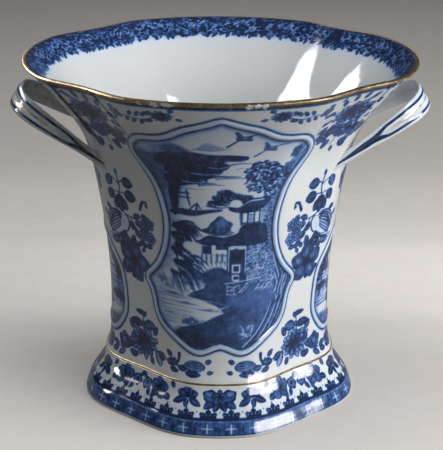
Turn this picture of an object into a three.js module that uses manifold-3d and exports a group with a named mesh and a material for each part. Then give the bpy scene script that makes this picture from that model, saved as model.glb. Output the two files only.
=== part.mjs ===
// Bough vase in blue-and-white porcelain: a lobed trumpet body luted onto a
// hollow spreading foot, two looped strap handles and two gilt lines.
// Millimetres, +Z up. Origin: centre of the circle it stands on.
// +X points at one handle, -Y at the front panel.
import * as THREE from 'three';
import * as BufferGeometryUtils from 'three/addons/utils/BufferGeometryUtils.js';
import Module from 'manifold-3d';

const wasm = await Module();
wasm.setup();

// ---------------------------------------------------------------- dimensions
const HEIGHT = 200;            // floor to lip
const RIM_R = 111.9;           // lip, measured to the middle of a lobe
const FOOT_R = 79.0;           // foot, measured to the middle of a lobe
const SEAM_Z = 26.4;           // where the body sits on the foot
const FLOOR_Z = 33.5;          // top of the inside floor
const LIP_GILT_Z = 198.4;      // the gilding covers the lip above this
const SEAM_GILT_H = 1.2;       // height of the gilt line round the seam
const SEAM_GILT_PROUD = 0.15;
const FOOT_RING_W = 4.2;       // width of the ring that touches the table
const GAP = 0.3;               // between a handle and the body it is luted to
const AROUND = 72;             // facets round the vase

const STRAP_T = 3.4;           // handle strap, through
// handle strap, across: distance along the centre line from its hidden end, width
const STRAP_W = [[0, 5.2], [10, 5.4], [26, 6.4], [33, 7.4], [40, 9.0], [54, 11.2], [64, 12.2], [84, 12.8]];
const STRAP_TILT = 32 * Math.PI / 180; // slope of the loop

// outer profile through the middle of a lobe: height, radius
const PROFILE = [
  [0, FOOT_R], [3, 78.4], [8, 76.6], [13.5, 73.0], [20, 68.9], [27, 66.6],
  [34, 64.5], [47, 63.6], [65, 63.5], [84, 64.6], [103, 66.6], [121, 69.4],
  [136, 72.2], [149, 75.3], [159, 79.1], [168, 84.4], [176, 90.4],
  [184, 97.2], [192, 104.4], [HEIGHT, RIM_R],
];
// depth of the hollow at each corner as a part of the radius, and its half width
const DENT = [[0, 0.078], [27, 0.106], [45, 0.085], [65, 0.060], [100, 0.045], [150, 0.050], [200, 0.055]];
const DENT_W = [[0, 35], [27, 36], [65, 34], [100, 28], [150, 22], [200, 20]];
// wall, measured level
const WALL = [[0, 6], [FLOOR_Z, 5.6], [60, 5.0], [120, 4.8], [150, 4.8], [170, 4.8], [190, 4.4], [HEIGHT, 4.2]];

// centre line of the front half of the right handle, from the wall to the tip
const HANDLE = [
  [55.0, -37.2, 140.8], [64.1, -34.7, 146.5], [72.4, -32.8, 151.7],
  [80.7, -30.8, 156.9], [89.2, -28.8, 162.2], [98.0, -26.5, 167.7],
  [106.1, -23.0, 172.8], [111.7, -17.2, 176.3], [114.3, -9.4, 177.9],
  [115.0, 0, 178.3],
];

// ------------------------------------------------------------------- helpers
const lerpTable = (table, z) => {
  if (z <= table[0][0]) return table[0][1];
  for (let i = 1; i < table.length; i++) {
    const [z1, v1] = table[i], [z0, v0] = table[i - 1];
    if (z <= z1) return v0 + (v1 - v0) * (z - z0) / (z1 - z0);
  }
  return table[table.length - 1][1];
};

const profileR = (z) => {
  const n = PROFILE.length;
  let i = 0;
  while (i < n - 2 && z > PROFILE[i + 1][0]) i++;
  const slope = (j) => {
    const a = PROFILE[Math.max(0, j - 1)], b = PROFILE[Math.min(n - 1, j + 1)];
    return (b[1] - a[1]) / (b[0] - a[0]);
  };
  const [z0, r0] = PROFILE[i], [z1, r1] = PROFILE[i + 1];
  const h = z1 - z0, t = Math.min(1, Math.max(0, (z - z0) / h));
  const t2 = t * t, t3 = t2 * t;
  return (2 * t3 - 3 * t2 + 1) * r0 + (t3 - 2 * t2 + t) * h * slope(i)
    + (-2 * t3 + 3 * t2) * r1 + (t3 - t2) * h * slope(i + 1);
};

// four lobes with a shallow hollow at each corner
const lobe = (angle, z) => {
  const deg = ((angle * 180 / Math.PI) % 90 + 90) % 90;
  const off = Math.min(1, Math.abs(deg - 45) / lerpTable(DENT_W, z));
  return 1 - lerpTable(DENT, z) * 0.5 * (1 + Math.cos(Math.PI * off));
};

const merged = (geometry) => {
  geometry.deleteAttribute('normal');
  geometry.deleteAttribute('uv');
  return BufferGeometryUtils.mergeVertices(geometry, 1e-4);
};

const toManifold = (geometry) => new wasm.Manifold(new wasm.Mesh({
  numProp: 3,
  vertProperties: new Float32Array(geometry.attributes.position.array),
  triVerts: new Uint32Array(geometry.index.array),
}));

const fromManifold = (solid) => {
  const mesh = solid.getMesh();
  const geometry = new THREE.BufferGeometry();
  geometry.setAttribute('position', new THREE.BufferAttribute(new Float32Array(mesh.vertProperties), 3));
  geometry.setIndex(new THREE.BufferAttribute(new Uint32Array(mesh.triVerts), 1));
  return geometry;
};

// a turned profile whose every point is then pushed in or out with the lobes
const lobed = (points, grow = 0) => {
  const geometry = new THREE.LatheGeometry(points.map(([r, z]) => new THREE.Vector2(r, z)), AROUND);
  geometry.rotateX(Math.PI / 2);
  const p = geometry.attributes.position;
  for (let i = 0; i < p.count; i++) {
    const x = p.getX(i), y = p.getY(i), z = p.getZ(i);
    const r = Math.hypot(x, y);
    if (r < 1e-6) { p.setXY(i, 0, 0); continue; }
    const a = Math.round(Math.atan2(y, x) / (2 * Math.PI) * AROUND) / AROUND * 2 * Math.PI;
    const rr = r * lobe(a, z) + grow;
    p.setXY(i, rr * Math.cos(a), rr * Math.sin(a));
  }
  return merged(geometry);
};

// turn every face outwards if the solid came out inside out
const outward = (geometry) => {
  const p = geometry.attributes.position, idx = geometry.index.array;
  let volume = 0;
  const a = new THREE.Vector3(), b = new THREE.Vector3(), c = new THREE.Vector3();
  for (let i = 0; i < idx.length; i += 3) {
    a.fromBufferAttribute(p, idx[i]); b.fromBufferAttribute(p, idx[i + 1]); c.fromBufferAttribute(p, idx[i + 2]);
    volume += a.dot(b.cross(c));
  }
  if (volume < 0) {
    for (let i = 0; i < idx.length; i += 3) { const t = idx[i + 1]; idx[i + 1] = idx[i + 2]; idx[i + 2] = t; }
  }
  return geometry;
};

const material = (color, roughness, metalness) => new THREE.MeshStandardMaterial({ color, roughness, metalness });

const group = new THREE.Group();
const addMesh = (name, geometry, mat) => {
  geometry.computeVertexNormals();
  const mesh = new THREE.Mesh(geometry, mat);
  mesh.name = name;
  group.add(mesh);
  return mesh;
};

// ---------------------------------------------------------------------- body
const innerR = (z) => profileR(z) - lerpTable(WALL, z);
const outerZs = [34, 42, 53, 65, 79, 94, 109, 122, 134, 145, 154, 162, 169, 176, 183, 190, 195];
const innerZs = [194, 187, 179, 171, 163, 154, 143, 130, 114, 96, 78, 60, 46];
const bodyPoints = [
  [0, SEAM_Z], [profileR(SEAM_Z) - 1.4, SEAM_Z],
  [profileR(SEAM_Z) - 1.4, SEAM_Z + SEAM_GILT_H], [profileR(SEAM_Z + SEAM_GILT_H), SEAM_Z + SEAM_GILT_H],
  ...outerZs.map((z) => [profileR(z), z]),
  [profileR(LIP_GILT_Z), LIP_GILT_Z], [innerR(LIP_GILT_Z), LIP_GILT_Z],
  ...innerZs.map((z) => [innerR(z), z]),
  [innerR(46) - 1.2, 39.5], [innerR(46) - 5.5, 35.0], [innerR(46) - 12, FLOOR_Z], [0, FLOOR_Z],
];
const body = outward(lobed(bodyPoints));
addMesh('body', body, material(0xdfe4e8, 0.12, 0));

// ---------------------------------------------------------------------- foot
const footPoints = [
  [FOOT_R - 0.5, 0], [FOOT_R, 0.9], [profileR(3), 3], [profileR(6), 6], [profileR(9), 9],
  [profileR(13.5), 13.5], [profileR(18), 18], [profileR(22), 22], [profileR(SEAM_Z), SEAM_Z],
  [profileR(SEAM_Z) - 8.5, SEAM_Z], [profileR(SEAM_Z) - 8.2, 21], [65.2 - 1.5, 15.5],
  [70.8 - 1.5, 9], [73.6 - 0.6, 4], [FOOT_R - 0.5 - FOOT_RING_W, 0],
];
footPoints.push(footPoints[0]);
addMesh('foot', outward(lobed(footPoints)), material(0x5f76a8, 0.15, 0));

// ------------------------------------------------------------------- gilding
const lipPoints = [
  [profileR(LIP_GILT_Z), LIP_GILT_Z], [RIM_R, 199.2], [RIM_R - 0.5, HEIGHT],
  [RIM_R - 2.6, HEIGHT], [RIM_R - 3.9, 199.3], [innerR(LIP_GILT_Z), LIP_GILT_Z],
];
lipPoints.push(lipPoints[0]);
addMesh('rim_gilding', outward(lobed(lipPoints)), material(0x9a7440, 0.35, 0.8));

const seamR = profileR(SEAM_Z + SEAM_GILT_H / 2);
const seamPoints = [
  [seamR - 1.0, SEAM_Z], [seamR + SEAM_GILT_PROUD, SEAM_Z],
  [seamR + SEAM_GILT_PROUD, SEAM_Z + SEAM_GILT_H], [seamR - 1.0, SEAM_Z + SEAM_GILT_H],
];
seamPoints.push(seamPoints[0]);
addMesh('seam_gilding', outward(lobed(seamPoints)), material(0xb08a4a, 0.35, 0.8));

// ------------------------------------------------------------------- handles
// solid the handles are cut by: the body's outside, grown by the gap
const cutter = toManifold(outward(lobed([
  [0, 100], [profileR(100), 100], [profileR(118), 118], [profileR(130), 130], [profileR(138), 138],
  [profileR(145), 145], [profileR(154), 154], [profileR(162), 162], [profileR(169), 169],
  [profileR(176), 176], [profileR(183), 183], [profileR(190), 190], [0, 190],
], GAP)));

// strap section: a rounded bar with a shallow groove along the middle of each
// face, so that it reads as two reeds side by side
const section = (w, t) => {
  const h = w / 2, q = t / 2;
  return [
    [h, 0], [h * 0.86, q * 0.8], [h * 0.5, q], [0, q * 0.72], [-h * 0.5, q], [-h * 0.86, q * 0.8],
    [-h, 0], [-h * 0.86, -q * 0.8], [-h * 0.5, -q], [0, -q * 0.72], [h * 0.5, -q], [h * 0.86, -q * 0.8],
  ];
};

const strap = (side) => {
  const half = HANDLE.map(([x, y, z]) => new THREE.Vector3(side * x, y, z));
  const back = half.slice(0, -1).reverse().map((v) => new THREE.Vector3(v.x, -v.y, v.z));
  const path = new THREE.CatmullRomCurve3([...half, ...back], false, 'centripetal');
  const steps = 34, length = path.getLength();
  const up = new THREE.Vector3(-side * Math.sin(STRAP_TILT), 0, Math.cos(STRAP_TILT));
  const verts = [], index = [];
  const n = section(1, 1).length;
  for (let i = 0; i <= steps; i++) {
    const u = i / steps;
    const at = path.getPointAt(u), tangent = path.getTangentAt(u);
    const out = new THREE.Vector3().crossVectors(tangent, up).normalize();
    const wide = new THREE.Vector3().crossVectors(out, tangent).normalize();
    const along = Math.min(u, 1 - u) * length;
    const w = lerpTable(STRAP_W, along);
    const t = STRAP_T * (1 + 0.25 * Math.max(0, 1 - along / 30));
    for (const [a, b] of section(w, t)) {
      verts.push(
        at.x + wide.x * a + out.x * b,
        at.y + wide.y * a + out.y * b,
        at.z + wide.z * a + out.z * b,
      );
    }
  }
  for (let i = 0; i < steps; i++) {
    for (let j = 0; j < n; j++) {
      const k = (j + 1) % n, a = i * n + j, b = i * n + k, c = (i + 1) * n + k, d = (i + 1) * n + j;
      index.push(a, b, c, a, c, d);
    }
  }
  for (const [ring, flip] of [[0, true], [steps, false]]) {
    const base = ring * n, mid = verts.length / 3;
    let cx = 0, cy = 0, cz = 0;
    for (let j = 0; j < n; j++) { cx += verts[(base + j) * 3]; cy += verts[(base + j) * 3 + 1]; cz += verts[(base + j) * 3 + 2]; }
    verts.push(cx / n, cy / n, cz / n);
    for (let j = 0; j < n; j++) {
      const k = (j + 1) % n;
      if (flip) index.push(mid, base + k, base + j); else index.push(mid, base + j, base + k);
    }
  }
  const geometry = new THREE.BufferGeometry();
  geometry.setAttribute('position', new THREE.BufferAttribute(new Float32Array(verts), 3));
  geometry.setIndex(index);
  return outward(geometry);
};

for (const [name, side] of [['handle_right', 1], ['handle_left', -1]]) {
  const cut = toManifold(strap(side)).subtract(cutter);
  addMesh(name, outward(fromManifold(cut)), material(0xc9d0dc, 0.12, 0));
}

export default group;
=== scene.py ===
import math

import bpy
import numpy as np
from mathutils import Matrix, Vector


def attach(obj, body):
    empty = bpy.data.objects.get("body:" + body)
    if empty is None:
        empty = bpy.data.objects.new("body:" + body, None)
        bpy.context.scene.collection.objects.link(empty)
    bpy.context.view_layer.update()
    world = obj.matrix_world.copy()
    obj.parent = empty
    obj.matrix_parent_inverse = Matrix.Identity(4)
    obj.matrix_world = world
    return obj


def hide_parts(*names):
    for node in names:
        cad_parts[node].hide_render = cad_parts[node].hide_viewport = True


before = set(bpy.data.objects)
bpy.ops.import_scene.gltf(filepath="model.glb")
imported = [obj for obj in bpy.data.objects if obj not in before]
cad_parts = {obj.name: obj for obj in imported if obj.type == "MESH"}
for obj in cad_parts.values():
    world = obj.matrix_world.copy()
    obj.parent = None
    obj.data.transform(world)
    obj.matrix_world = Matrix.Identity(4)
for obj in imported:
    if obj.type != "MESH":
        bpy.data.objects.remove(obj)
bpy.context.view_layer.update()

MM = 0.001


# ------------------------------------------------------------------ shape data
# millimetres here; everything is scaled to metres when the meshes are made
PROFILE = [(0, 79.0), (3, 78.4), (8, 76.6), (13.5, 73.0), (20, 68.9), (27, 66.6),
           (34, 64.5), (47, 63.6), (65, 63.5), (84, 64.6), (103, 66.6), (121, 69.4),
           (136, 72.2), (149, 75.3), (159, 79.1), (168, 84.4), (176, 90.4),
           (184, 97.2), (192, 104.4), (200, 111.9)]
DENT = ([0, 27, 45, 65, 100, 150, 200], [.078, .106, .085, .060, .045, .050, .055])
DENT_W = ([0, 27, 65, 100, 150, 200], [35, 36, 34, 28, 22, 20])
WALL = ([0, 33.5, 60, 120, 150, 170, 190, 200], [6, 5.6, 5.0, 4.8, 4.8, 4.8, 4.4, 4.2])
_Z = np.array([p[0] for p in PROFILE], float)
_R = np.array([p[1] for p in PROFILE], float)
_M = np.array([(_R[min(len(_R) - 1, j + 1)] - _R[max(0, j - 1)]) / (_Z[min(len(_Z) - 1, j + 1)] - _Z[max(0, j - 1)])
               for j in range(len(_R))])


def prof_r(z):
    z = np.asarray(z, float)
    i = np.clip(np.searchsorted(_Z, z, side="left") - 1, 0, len(_Z) - 2)
    h = _Z[i + 1] - _Z[i]
    t = np.clip((z - _Z[i]) / h, 0, 1)
    t2, t3 = t * t, t * t * t
    return (2 * t3 - 3 * t2 + 1) * _R[i] + (t3 - 2 * t2 + t) * h * _M[i] + (-2 * t3 + 3 * t2) * _R[i + 1] + (t3 - t2) * h * _M[i + 1]


def lobe(phi, z):
    """phi in degrees from the front; four lobes with a hollow at each corner"""
    off = np.minimum(1, np.abs(np.mod(phi, 90.0) - 45.0) / np.interp(z, *DENT_W))
    return 1 - np.interp(z, *DENT) * 0.5 * (1 + np.cos(np.pi * off))


K = 1.2  # drawing millimetres to a degree round the vase


# half of the front panel's outline (degrees, height), from the top point down to the cusp
FRONT_HALF = [(0, 190.3), (4, 188.0), (8.5, 185.4), (12.5, 183.4), (16.5, 180.2), (19.5, 177.8), (23.5, 176.3),
              (28, 175.7), (31.8, 174.3), (35.2, 171.3), (38, 167.8), (39.4, 163.5), (38.8, 159.3), (36.2, 154.5),
              (32.8, 149), (29.9, 142), (28.1, 134), (27.1, 126.5), (27, 119), (28, 111), (30, 104), (33, 97.5),
              (37, 92.3), (40.6, 88.8), (42.6, 85), (42.0, 81.4), (39.8, 78), (38.4, 73), (37.6, 67), (35.8, 61.5),
              (32.4, 56.5), (27, 52.3), (21.5, 48.4), (16.5, 45.0), (12.5, 43.3), (8.5, 43.4), (4, 45.5), (0, 47.2)]
# half of the small side panel's outline, about the middle of the side
SIDE_HALF = [(0, 106.5), (3.5, 105), (7.5, 103.8), (12, 103.2), (16, 101.6), (19.5, 98.6), (22.5, 95), (26, 90.6),
             (28.8, 86), (30.4, 80.5), (31, 74), (31.2, 67), (31, 61), (29.6, 55.6), (26.8, 50.6), (23.4, 46.2),
             (19.4, 42.9), (14.5, 41.6), (9.5, 42.2), (5, 43.6), (0, 44.8)]


def _closed(half):
    right = [(x * K, z) for x, z in half]
    left = [(-x, z) for x, z in reversed(right[1:-1])]
    return np.array(right + left, float)


def smooth_loop(pts, n=640, passes=2):
    """even spacing round a closed outline, softly rounded"""
    pts = np.asarray(pts, float)
    m = len(pts)
    out = []
    for i in range(m):
        p0, p1, p2, p3 = (pts[(i + k - 1) % m] for k in range(4))
        t = np.linspace(0, 1, 12, endpoint=False)[:, None]
        out.append(0.5 * ((2 * p1) + (p2 - p0) * t + (2 * p0 - 5 * p1 + 4 * p2 - p3) * t ** 2 + (3 * p1 - p0 - 3 * p2 + p3) * t ** 3))
    q = np.concatenate(out)
    for _ in range(passes + 1):
        d = np.hypot(*(np.roll(q, -1, 0) - q).T)
        s = np.concatenate([[0], np.cumsum(d)])
        t = np.linspace(0, s[-1], n, endpoint=False)
        qq = np.vstack([q, q[:1]])
        q = np.stack([np.interp(t, s, qq[:, 0]), np.interp(t, s, qq[:, 1])], 1)
        q = 0.5 * q + 0.25 * (np.roll(q, 1, 0) + np.roll(q, -1, 0))
    return q


FRONT_LOOP = smooth_loop(_closed(FRONT_HALF))
SIDE_LOOP = smooth_loop(_closed(SIDE_HALF), 480)


# ------------------------------------------------------------------ the drawing
class Canvas:
    """A flat sheet of wash strengths, 0 bare glaze to 1 darkest cobalt."""

    def __init__(self, x0, x1, y0, y1, ppm, curved=True):
        self.x0, self.y0, self.ppm, self.curved = x0, y0, ppm, curved
        self.w, self.h = int(round((x1 - x0) * ppm)), int(round((y1 - y0) * ppm))
        self.ink = np.zeros((self.h, self.w), np.float32)
        self.hat = np.zeros((self.h, self.w), np.float32)
        self.clip = None

    def window(self, xa, xb, ya, yb):
        i0, i1 = max(0, int((xa - self.x0) * self.ppm) - 1), min(self.w, int((xb - self.x0) * self.ppm) + 2)
        j0, j1 = max(0, int((ya - self.y0) * self.ppm) - 1), min(self.h, int((yb - self.y0) * self.ppm) + 2)
        if i1 <= i0 or j1 <= j0:
            return None
        X = self.x0 + (np.arange(i0, i1) + 0.5) / self.ppm
        Y = self.y0 + (np.arange(j0, j1) + 0.5) / self.ppm
        return slice(j0, j1), slice(i0, i1), X[None, :], Y[:, None]

    def at(self, phi, z, rot=0.0, size=1.0, mirror=1):
        return Place(self, phi, z, rot, size, mirror)

    def blend(self, js, is_, cover, tone, hatch=None, mode="over"):
        if self.clip is not None:
            cover = cover * self.clip[js, is_]
        a = self.ink[js, is_]
        if mode == "over":
            self.ink[js, is_] = a * (1 - cover) + tone * cover
        elif mode == "dark":
            self.ink[js, is_] = np.maximum(a, tone * cover)
        elif mode == "light":
            self.ink[js, is_] = np.minimum(a, 1 - (1 - tone) * cover)
        if hatch is not None:
            self.hat[js, is_] = self.hat[js, is_] * (1 - cover) + hatch * cover

    def sample(self, X, Y):
        """smooth reading at drawing coordinates; 0 outside"""
        fx = np.clip((X - self.x0) * self.ppm - 0.5, 0, self.w - 1.001)
        fy = np.clip((Y - self.y0) * self.ppm - 0.5, 0, self.h - 1.001)
        ix, iy = fx.astype(int), fy.astype(int)
        tx, ty = fx - ix, fy - iy
        out = []
        for a in (self.ink, self.hat):
            out.append(a[iy, ix] * (1 - tx) * (1 - ty) + a[iy, ix + 1] * tx * (1 - ty) + a[iy + 1, ix] * (1 - tx) * ty + a[iy + 1, ix + 1] * tx * ty)
        return out


def soften(a, sigma):
    """separable blur"""
    n = max(1, int(3 * sigma))
    k = np.exp(-0.5 * (np.arange(-n, n + 1) / sigma) ** 2)
    k = (k / k.sum()).astype(np.float32)
    p = np.pad(a, ((n, n), (0, 0)), "edge")
    a = sum(k[i] * p[i:i + a.shape[0]] for i in range(2 * n + 1))
    p = np.pad(a, ((0, 0), (n, n)), "edge")
    return sum(k[i] * p[:, i:i + a.shape[1]] for i in range(2 * n + 1))


def spline(pts, n=8):
    pts = np.asarray(pts, float)
    if len(pts) < 3:
        return pts
    p = np.vstack([2 * pts[0] - pts[1], pts, 2 * pts[-1] - pts[-2]])
    out = []
    t = np.linspace(0, 1, n, endpoint=False)[:, None]
    for i in range(1, len(p) - 2):
        p0, p1, p2, p3 = p[i - 1:i + 3]
        out.append(0.5 * ((2 * p1) + (p2 - p0) * t + (2 * p0 - 5 * p1 + 4 * p2 - p3) * t ** 2 + (3 * p1 - p0 - 3 * p2 + p3) * t ** 3))
    return np.vstack(out + [pts[-1:]])


class Place:
    """A motif's own millimetre frame on a canvas."""

    def __init__(self, cv, phi, z, rot, size, mirror):
        self.cv, self.X, self.Y = cv, phi * K, z
        c, s = math.cos(math.radians(rot)), math.sin(math.radians(rot))
        if cv.curved:
            sx = 180 / math.pi * K / float(prof_r(z))
            slope = float(prof_r(min(z + 2, 199)) - prof_r(z - 2)) / 4
            sy = 1 / math.hypot(1, slope)
        else:
            sx = sy = 1.0
        self.A = np.array([[sx * mirror, 0], [0, sy]]) @ np.array([[c, -s], [s, c]]) * size
        self.B = np.linalg.inv(self.A)
        self.soft = 1.0 / (cv.ppm * size * min(sx, sy))

    def to(self, pts):
        q = np.asarray(pts, float) @ self.A.T
        return q + [self.X, self.Y]

    def _grid(self, lo, hi):
        corners = self.to([(lo[0], lo[1]), (hi[0], lo[1]), (hi[0], hi[1]), (lo[0], hi[1])])
        w = self.cv.window(corners[:, 0].min(), corners[:, 0].max(), corners[:, 1].min(), corners[:, 1].max())
        if w is None:
            return None
        js, is_, X, Y = w
        dx, dy = X - self.X, Y - self.Y
        return js, is_, self.B[0, 0] * dx + self.B[0, 1] * dy, self.B[1, 0] * dx + self.B[1, 1] * dy

    def field(self, lo, hi, fn, tone, mode="over", hatch=None, soft=None):
        g = self._grid(lo, hi)
        if g is None:
            return
        js, is_, x, y = g
        d = fn(x, y)
        s = (soft or 0) + self.soft
        cover = np.clip(0.5 - d / s, 0, 1).astype(np.float32)
        self.cv.blend(js, is_, cover, tone(x, y).astype(np.float32) if callable(tone) else np.float32(tone), hatch, mode)

    def ellipse(self, cx, cy, rx, ry, rot=0, tone=.8, mode="over", hatch=None, soft=None, wob=0.0, k=7, ph=0.0):
        c, s = math.cos(math.radians(rot)), math.sin(math.radians(rot))
        r = max(rx, ry) * (1 + wob) + 0.4

        def fn(x, y):
            u = ((x - cx) * c + (y - cy) * s) / rx
            v = (-(x - cx) * s + (y - cy) * c) / ry
            q = np.hypot(u, v)
            if wob:
                q = q / (1 + wob * np.sin(k * np.arctan2(v, u) + ph))
            return (q - 1) * min(rx, ry)
        self.field((cx - r, cy - r), (cx + r, cy + r), fn, tone, mode, hatch, soft)

    def ring(self, cx, cy, rx, ry, width, rot=0, tone=.9, mode="over", wob=0.0, k=7, ph=0.0):
        c, s = math.cos(math.radians(rot)), math.sin(math.radians(rot))
        r = max(rx, ry) * (1 + wob) + width + 0.3

        def fn(x, y):
            u = ((x - cx) * c + (y - cy) * s) / rx
            v = (-(x - cx) * s + (y - cy) * c) / ry
            q = np.hypot(u, v)
            if wob:
                q = q / (1 + wob * np.sin(k * np.arctan2(v, u) + ph))
            return np.abs(q - 1) * min(rx, ry) - width / 2
        self.field((cx - r, cy - r), (cx + r, cy + r), fn, tone, mode)

    def stroke(self, pts, w0, w1=None, tone=.85, mode="over", n=6, hatch=None, swell=0.0):
        q = spline(pts, n)
        w1 = w0 if w1 is None else w1
        t = np.linspace(0, 1, len(q))
        r = (w0 + (w1 - w0) * t) / 2 + swell * np.sin(np.pi * t)
        m = r.max() + 0.3
        lo, hi = q.min(0) - m, q.max(0) + m

        def fn(x, y):
            d = None
            for i in range(len(q) - 1):
                a, b = q[i], q[i + 1]
                ab = b - a
                h = np.clip(((x - a[0]) * ab[0] + (y - a[1]) * ab[1]) / (ab @ ab + 1e-9), 0, 1)
                e = np.hypot(x - a[0] - ab[0] * h, y - a[1] - ab[1] * h) - (r[i] + (r[i + 1] - r[i]) * h)
                d = e if d is None else np.minimum(d, e)
            return d
        self.field(lo, hi, fn, tone, mode, hatch)

    def poly(self, pts, tone=.8, mode="over", hatch=None, grow=0.0, soft=None, smooth=0):
        p = np.asarray(pts, float)
        if smooth:
            p = smooth_loop(p, max(24, smooth * len(p)), 0)
        m = grow + 0.4
        lo, hi = p.min(0) - m, p.max(0) + m

        def fn(x, y):
            x, y = np.broadcast_arrays(x, y)
            inside = np.zeros(x.shape, bool)
            d = np.full(x.shape, 1e9)
            for i in range(len(p)):
                a, b = p[i], p[(i + 1) % len(p)]
                ab = b - a
                h = np.clip(((x - a[0]) * ab[0] + (y - a[1]) * ab[1]) / (ab @ ab + 1e-9), 0, 1)
                d = np.minimum(d, (x - a[0] - ab[0] * h) ** 2 + (y - a[1] - ab[1] * h) ** 2)
                c = (a[1] > y) != (b[1] > y)
                xs = a[0] + (y - a[1]) * ab[0] / (ab[1] if abs(ab[1]) > 1e-9 else 1e-9)
                inside ^= c & (x < xs)
            return np.where(inside, -np.sqrt(d), np.sqrt(d)) - grow
        self.field(lo, hi, fn, tone, mode, hatch, soft)

    def leaf(self, x, y, ang, length, width, tone=.72, vein=True, bend=0.0, edge=.92, hatch=.5):
        a = math.radians(ang)
        t = np.linspace(0, 1, 15)
        cx = x + length * t * math.cos(a) - bend * np.sin(np.pi * t) * math.sin(a)
        cy = y + length * t * math.sin(a) + bend * np.sin(np.pi * t) * math.cos(a)
        dx, dy = np.gradient(cx), np.gradient(cy)
        n = np.hypot(dx, dy)
        half = width * .56 * np.sin(np.pi * t ** 0.88) ** 0.72
        L = np.stack([cx - dy / n * half, cy + dx / n * half], 1)
        R = np.stack([cx + dy / n * half, cy - dx / n * half], 1)
        shape = np.vstack([L, R[::-1][1:-1]])
        self.poly(shape, edge)
        inner = np.vstack([np.stack([cx - dy / n * half * .62, cy + dx / n * half * .62], 1),
                           np.stack([cx + dy / n * half * .62, cy - dx / n * half * .62], 1)[::-1][1:-1]])
        self.poly(inner, tone, hatch=hatch)
        if vein:
            self.stroke([(cx[1], cy[1]), (cx[7], cy[7]), (cx[12], cy[12])], .34, .2, tone * .55)

    def petals(self, n, r_in, r, w, tone=.7, edge=.93, turn=0, squash=1.0, streak=True, light=None):
        """a ring of n round petals"""
        for i in range(n):
            a = turn + 360 * i / n
            ca, sa = math.cos(math.radians(a)), math.sin(math.radians(a))
            mx, my = (r_in + r) / 2 * ca, (r_in + r) / 2 * sa * squash
            lx = (r - r_in) / 2 + .25 * w
            rot = math.degrees(math.atan2(my, mx))
            self.ellipse(mx, my, lx, w / 2, rot, edge, wob=.05, k=5, ph=i)
            self.ellipse(mx, my, lx - .42, w / 2 - .42, rot, tone, hatch=.6, wob=.05, k=5, ph=i)
            if light is not None:
                self.ellipse(mx + ca * lx * .45, my + sa * lx * .45 * squash, lx * .34, w * .3, rot, light, soft=.8)
            if streak:
                for o in (-.22, 0, .22):
                    b = a + o * 40
                    cb, sb = math.cos(math.radians(b)), math.sin(math.radians(b))
                    self.stroke([(r_in * .8 * cb, r_in * .8 * sb * squash), ((r * .72) * cb, (r * .72) * sb * squash)], .3, .15, edge)

    def flower(self, r, n=5, tone=.62, edge=.93, turn=18, squash=1.0, core=.16, light=None):
        r = r * 1.08
        self.petals(n, r * .16, r * .98, r * (1.26 if n == 5 else 5.6 / n), tone - .04, edge, turn, squash, light=light)
        self.ellipse(0, 0, r * .24, r * .24 * squash, 0, .97)
        self.ellipse(0, 0, r * core, r * core * squash, 0, .25)

    def peony(self, rx, ry, tone=.72, edge=.95, seed=1, jag=.07, lift=0.0):
        """a full round flower: a dark heart in rings of broad overlapping petals"""
        rnd = np.random.RandomState(seed)
        self.ellipse(0, 0, rx * .84, ry * .84, 0, tone, hatch=.6, wob=.05, k=9, ph=seed)
        for ring_no, (n, f, tf) in enumerate([(11, 1.0, .84), (9, .76, .96), (7, .50, 1.12)]):
            off = rnd.uniform(0, 40)
            for i in range(n):
                a = off + 360 * i / n + rnd.uniform(-7, 7)
                g = f * rnd.uniform(.9, 1.1)
                ca, sa = math.cos(math.radians(a)), math.sin(math.radians(a))
                cx, cy = ca * rx * g * .70, sa * ry * g * .70 + lift * (1 - f) * ry
                rot = math.degrees(math.atan2(sa * ry, ca * rx))
                lx = .33 * g * math.hypot(ca * rx, sa * ry) + .5
                wx = 2.0 * math.pi * f * .72 * (rx + ry) / 2 / n * .98
                t = min(.90, tone * tf * rnd.uniform(.86, 1.12))
                self.ellipse(cx, cy, lx + .12, wx / 2 + .12, rot, edge, wob=jag, k=5, ph=rnd.uniform(0, 6))
                self.ellipse(cx, cy, max(.3, lx - .36), max(.3, wx / 2 - .36), rot, t, hatch=.7, wob=jag, k=5, ph=rnd.uniform(0, 6))
                if ring_no < 2:
                    self.ellipse(cx + ca * lx * .5, cy + sa * lx * .5, lx * .40, wx * .24, rot, t * .60, soft=1.0)
                for o in (-8, 0, 8):
                    cb, sb = math.cos(math.radians(a + o)), math.sin(math.radians(a + o))
                    self.stroke([(cb * rx * g * .36, sb * ry * g * .36), (cb * rx * g * .86, sb * ry * g * .86)], .34, .15, edge if o else t * .5)
        self.ellipse(0, lift * ry * .6, rx * .26, ry * .26, 0, .98, wob=.15, k=6, soft=.6)
        for i in range(5):
            a = i * 1.257
            self.ellipse(math.cos(a) * rx * .12, lift * ry * .6 + math.sin(a) * ry * .12, .32, .32, 0, .5)

    def bud(self, x, y, ang, length, width, tone=.7, stripes=4):
        a = math.radians(ang)
        ca, sa = math.cos(a), math.sin(a)
        mx, my = x + ca * length * .5, y + sa * length * .5
        self.ellipse(mx, my, length * .5, width * .5, ang, .93, wob=.03, k=3)
        self.ellipse(mx, my, length * .5 - .4, width * .5 - .4, ang, tone, hatch=.6)
        for i in range(stripes):
            o = (i - (stripes - 1) / 2) / stripes * width * .8
            self.stroke([(x + ca * length * .15 - sa * o * .4, y + sa * length * .15 + ca * o * .4),
                         (x + ca * length * .85 - sa * o, y + sa * length * .85 + ca * o)], .38, .22, .28 if i % 2 else .95)

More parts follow.
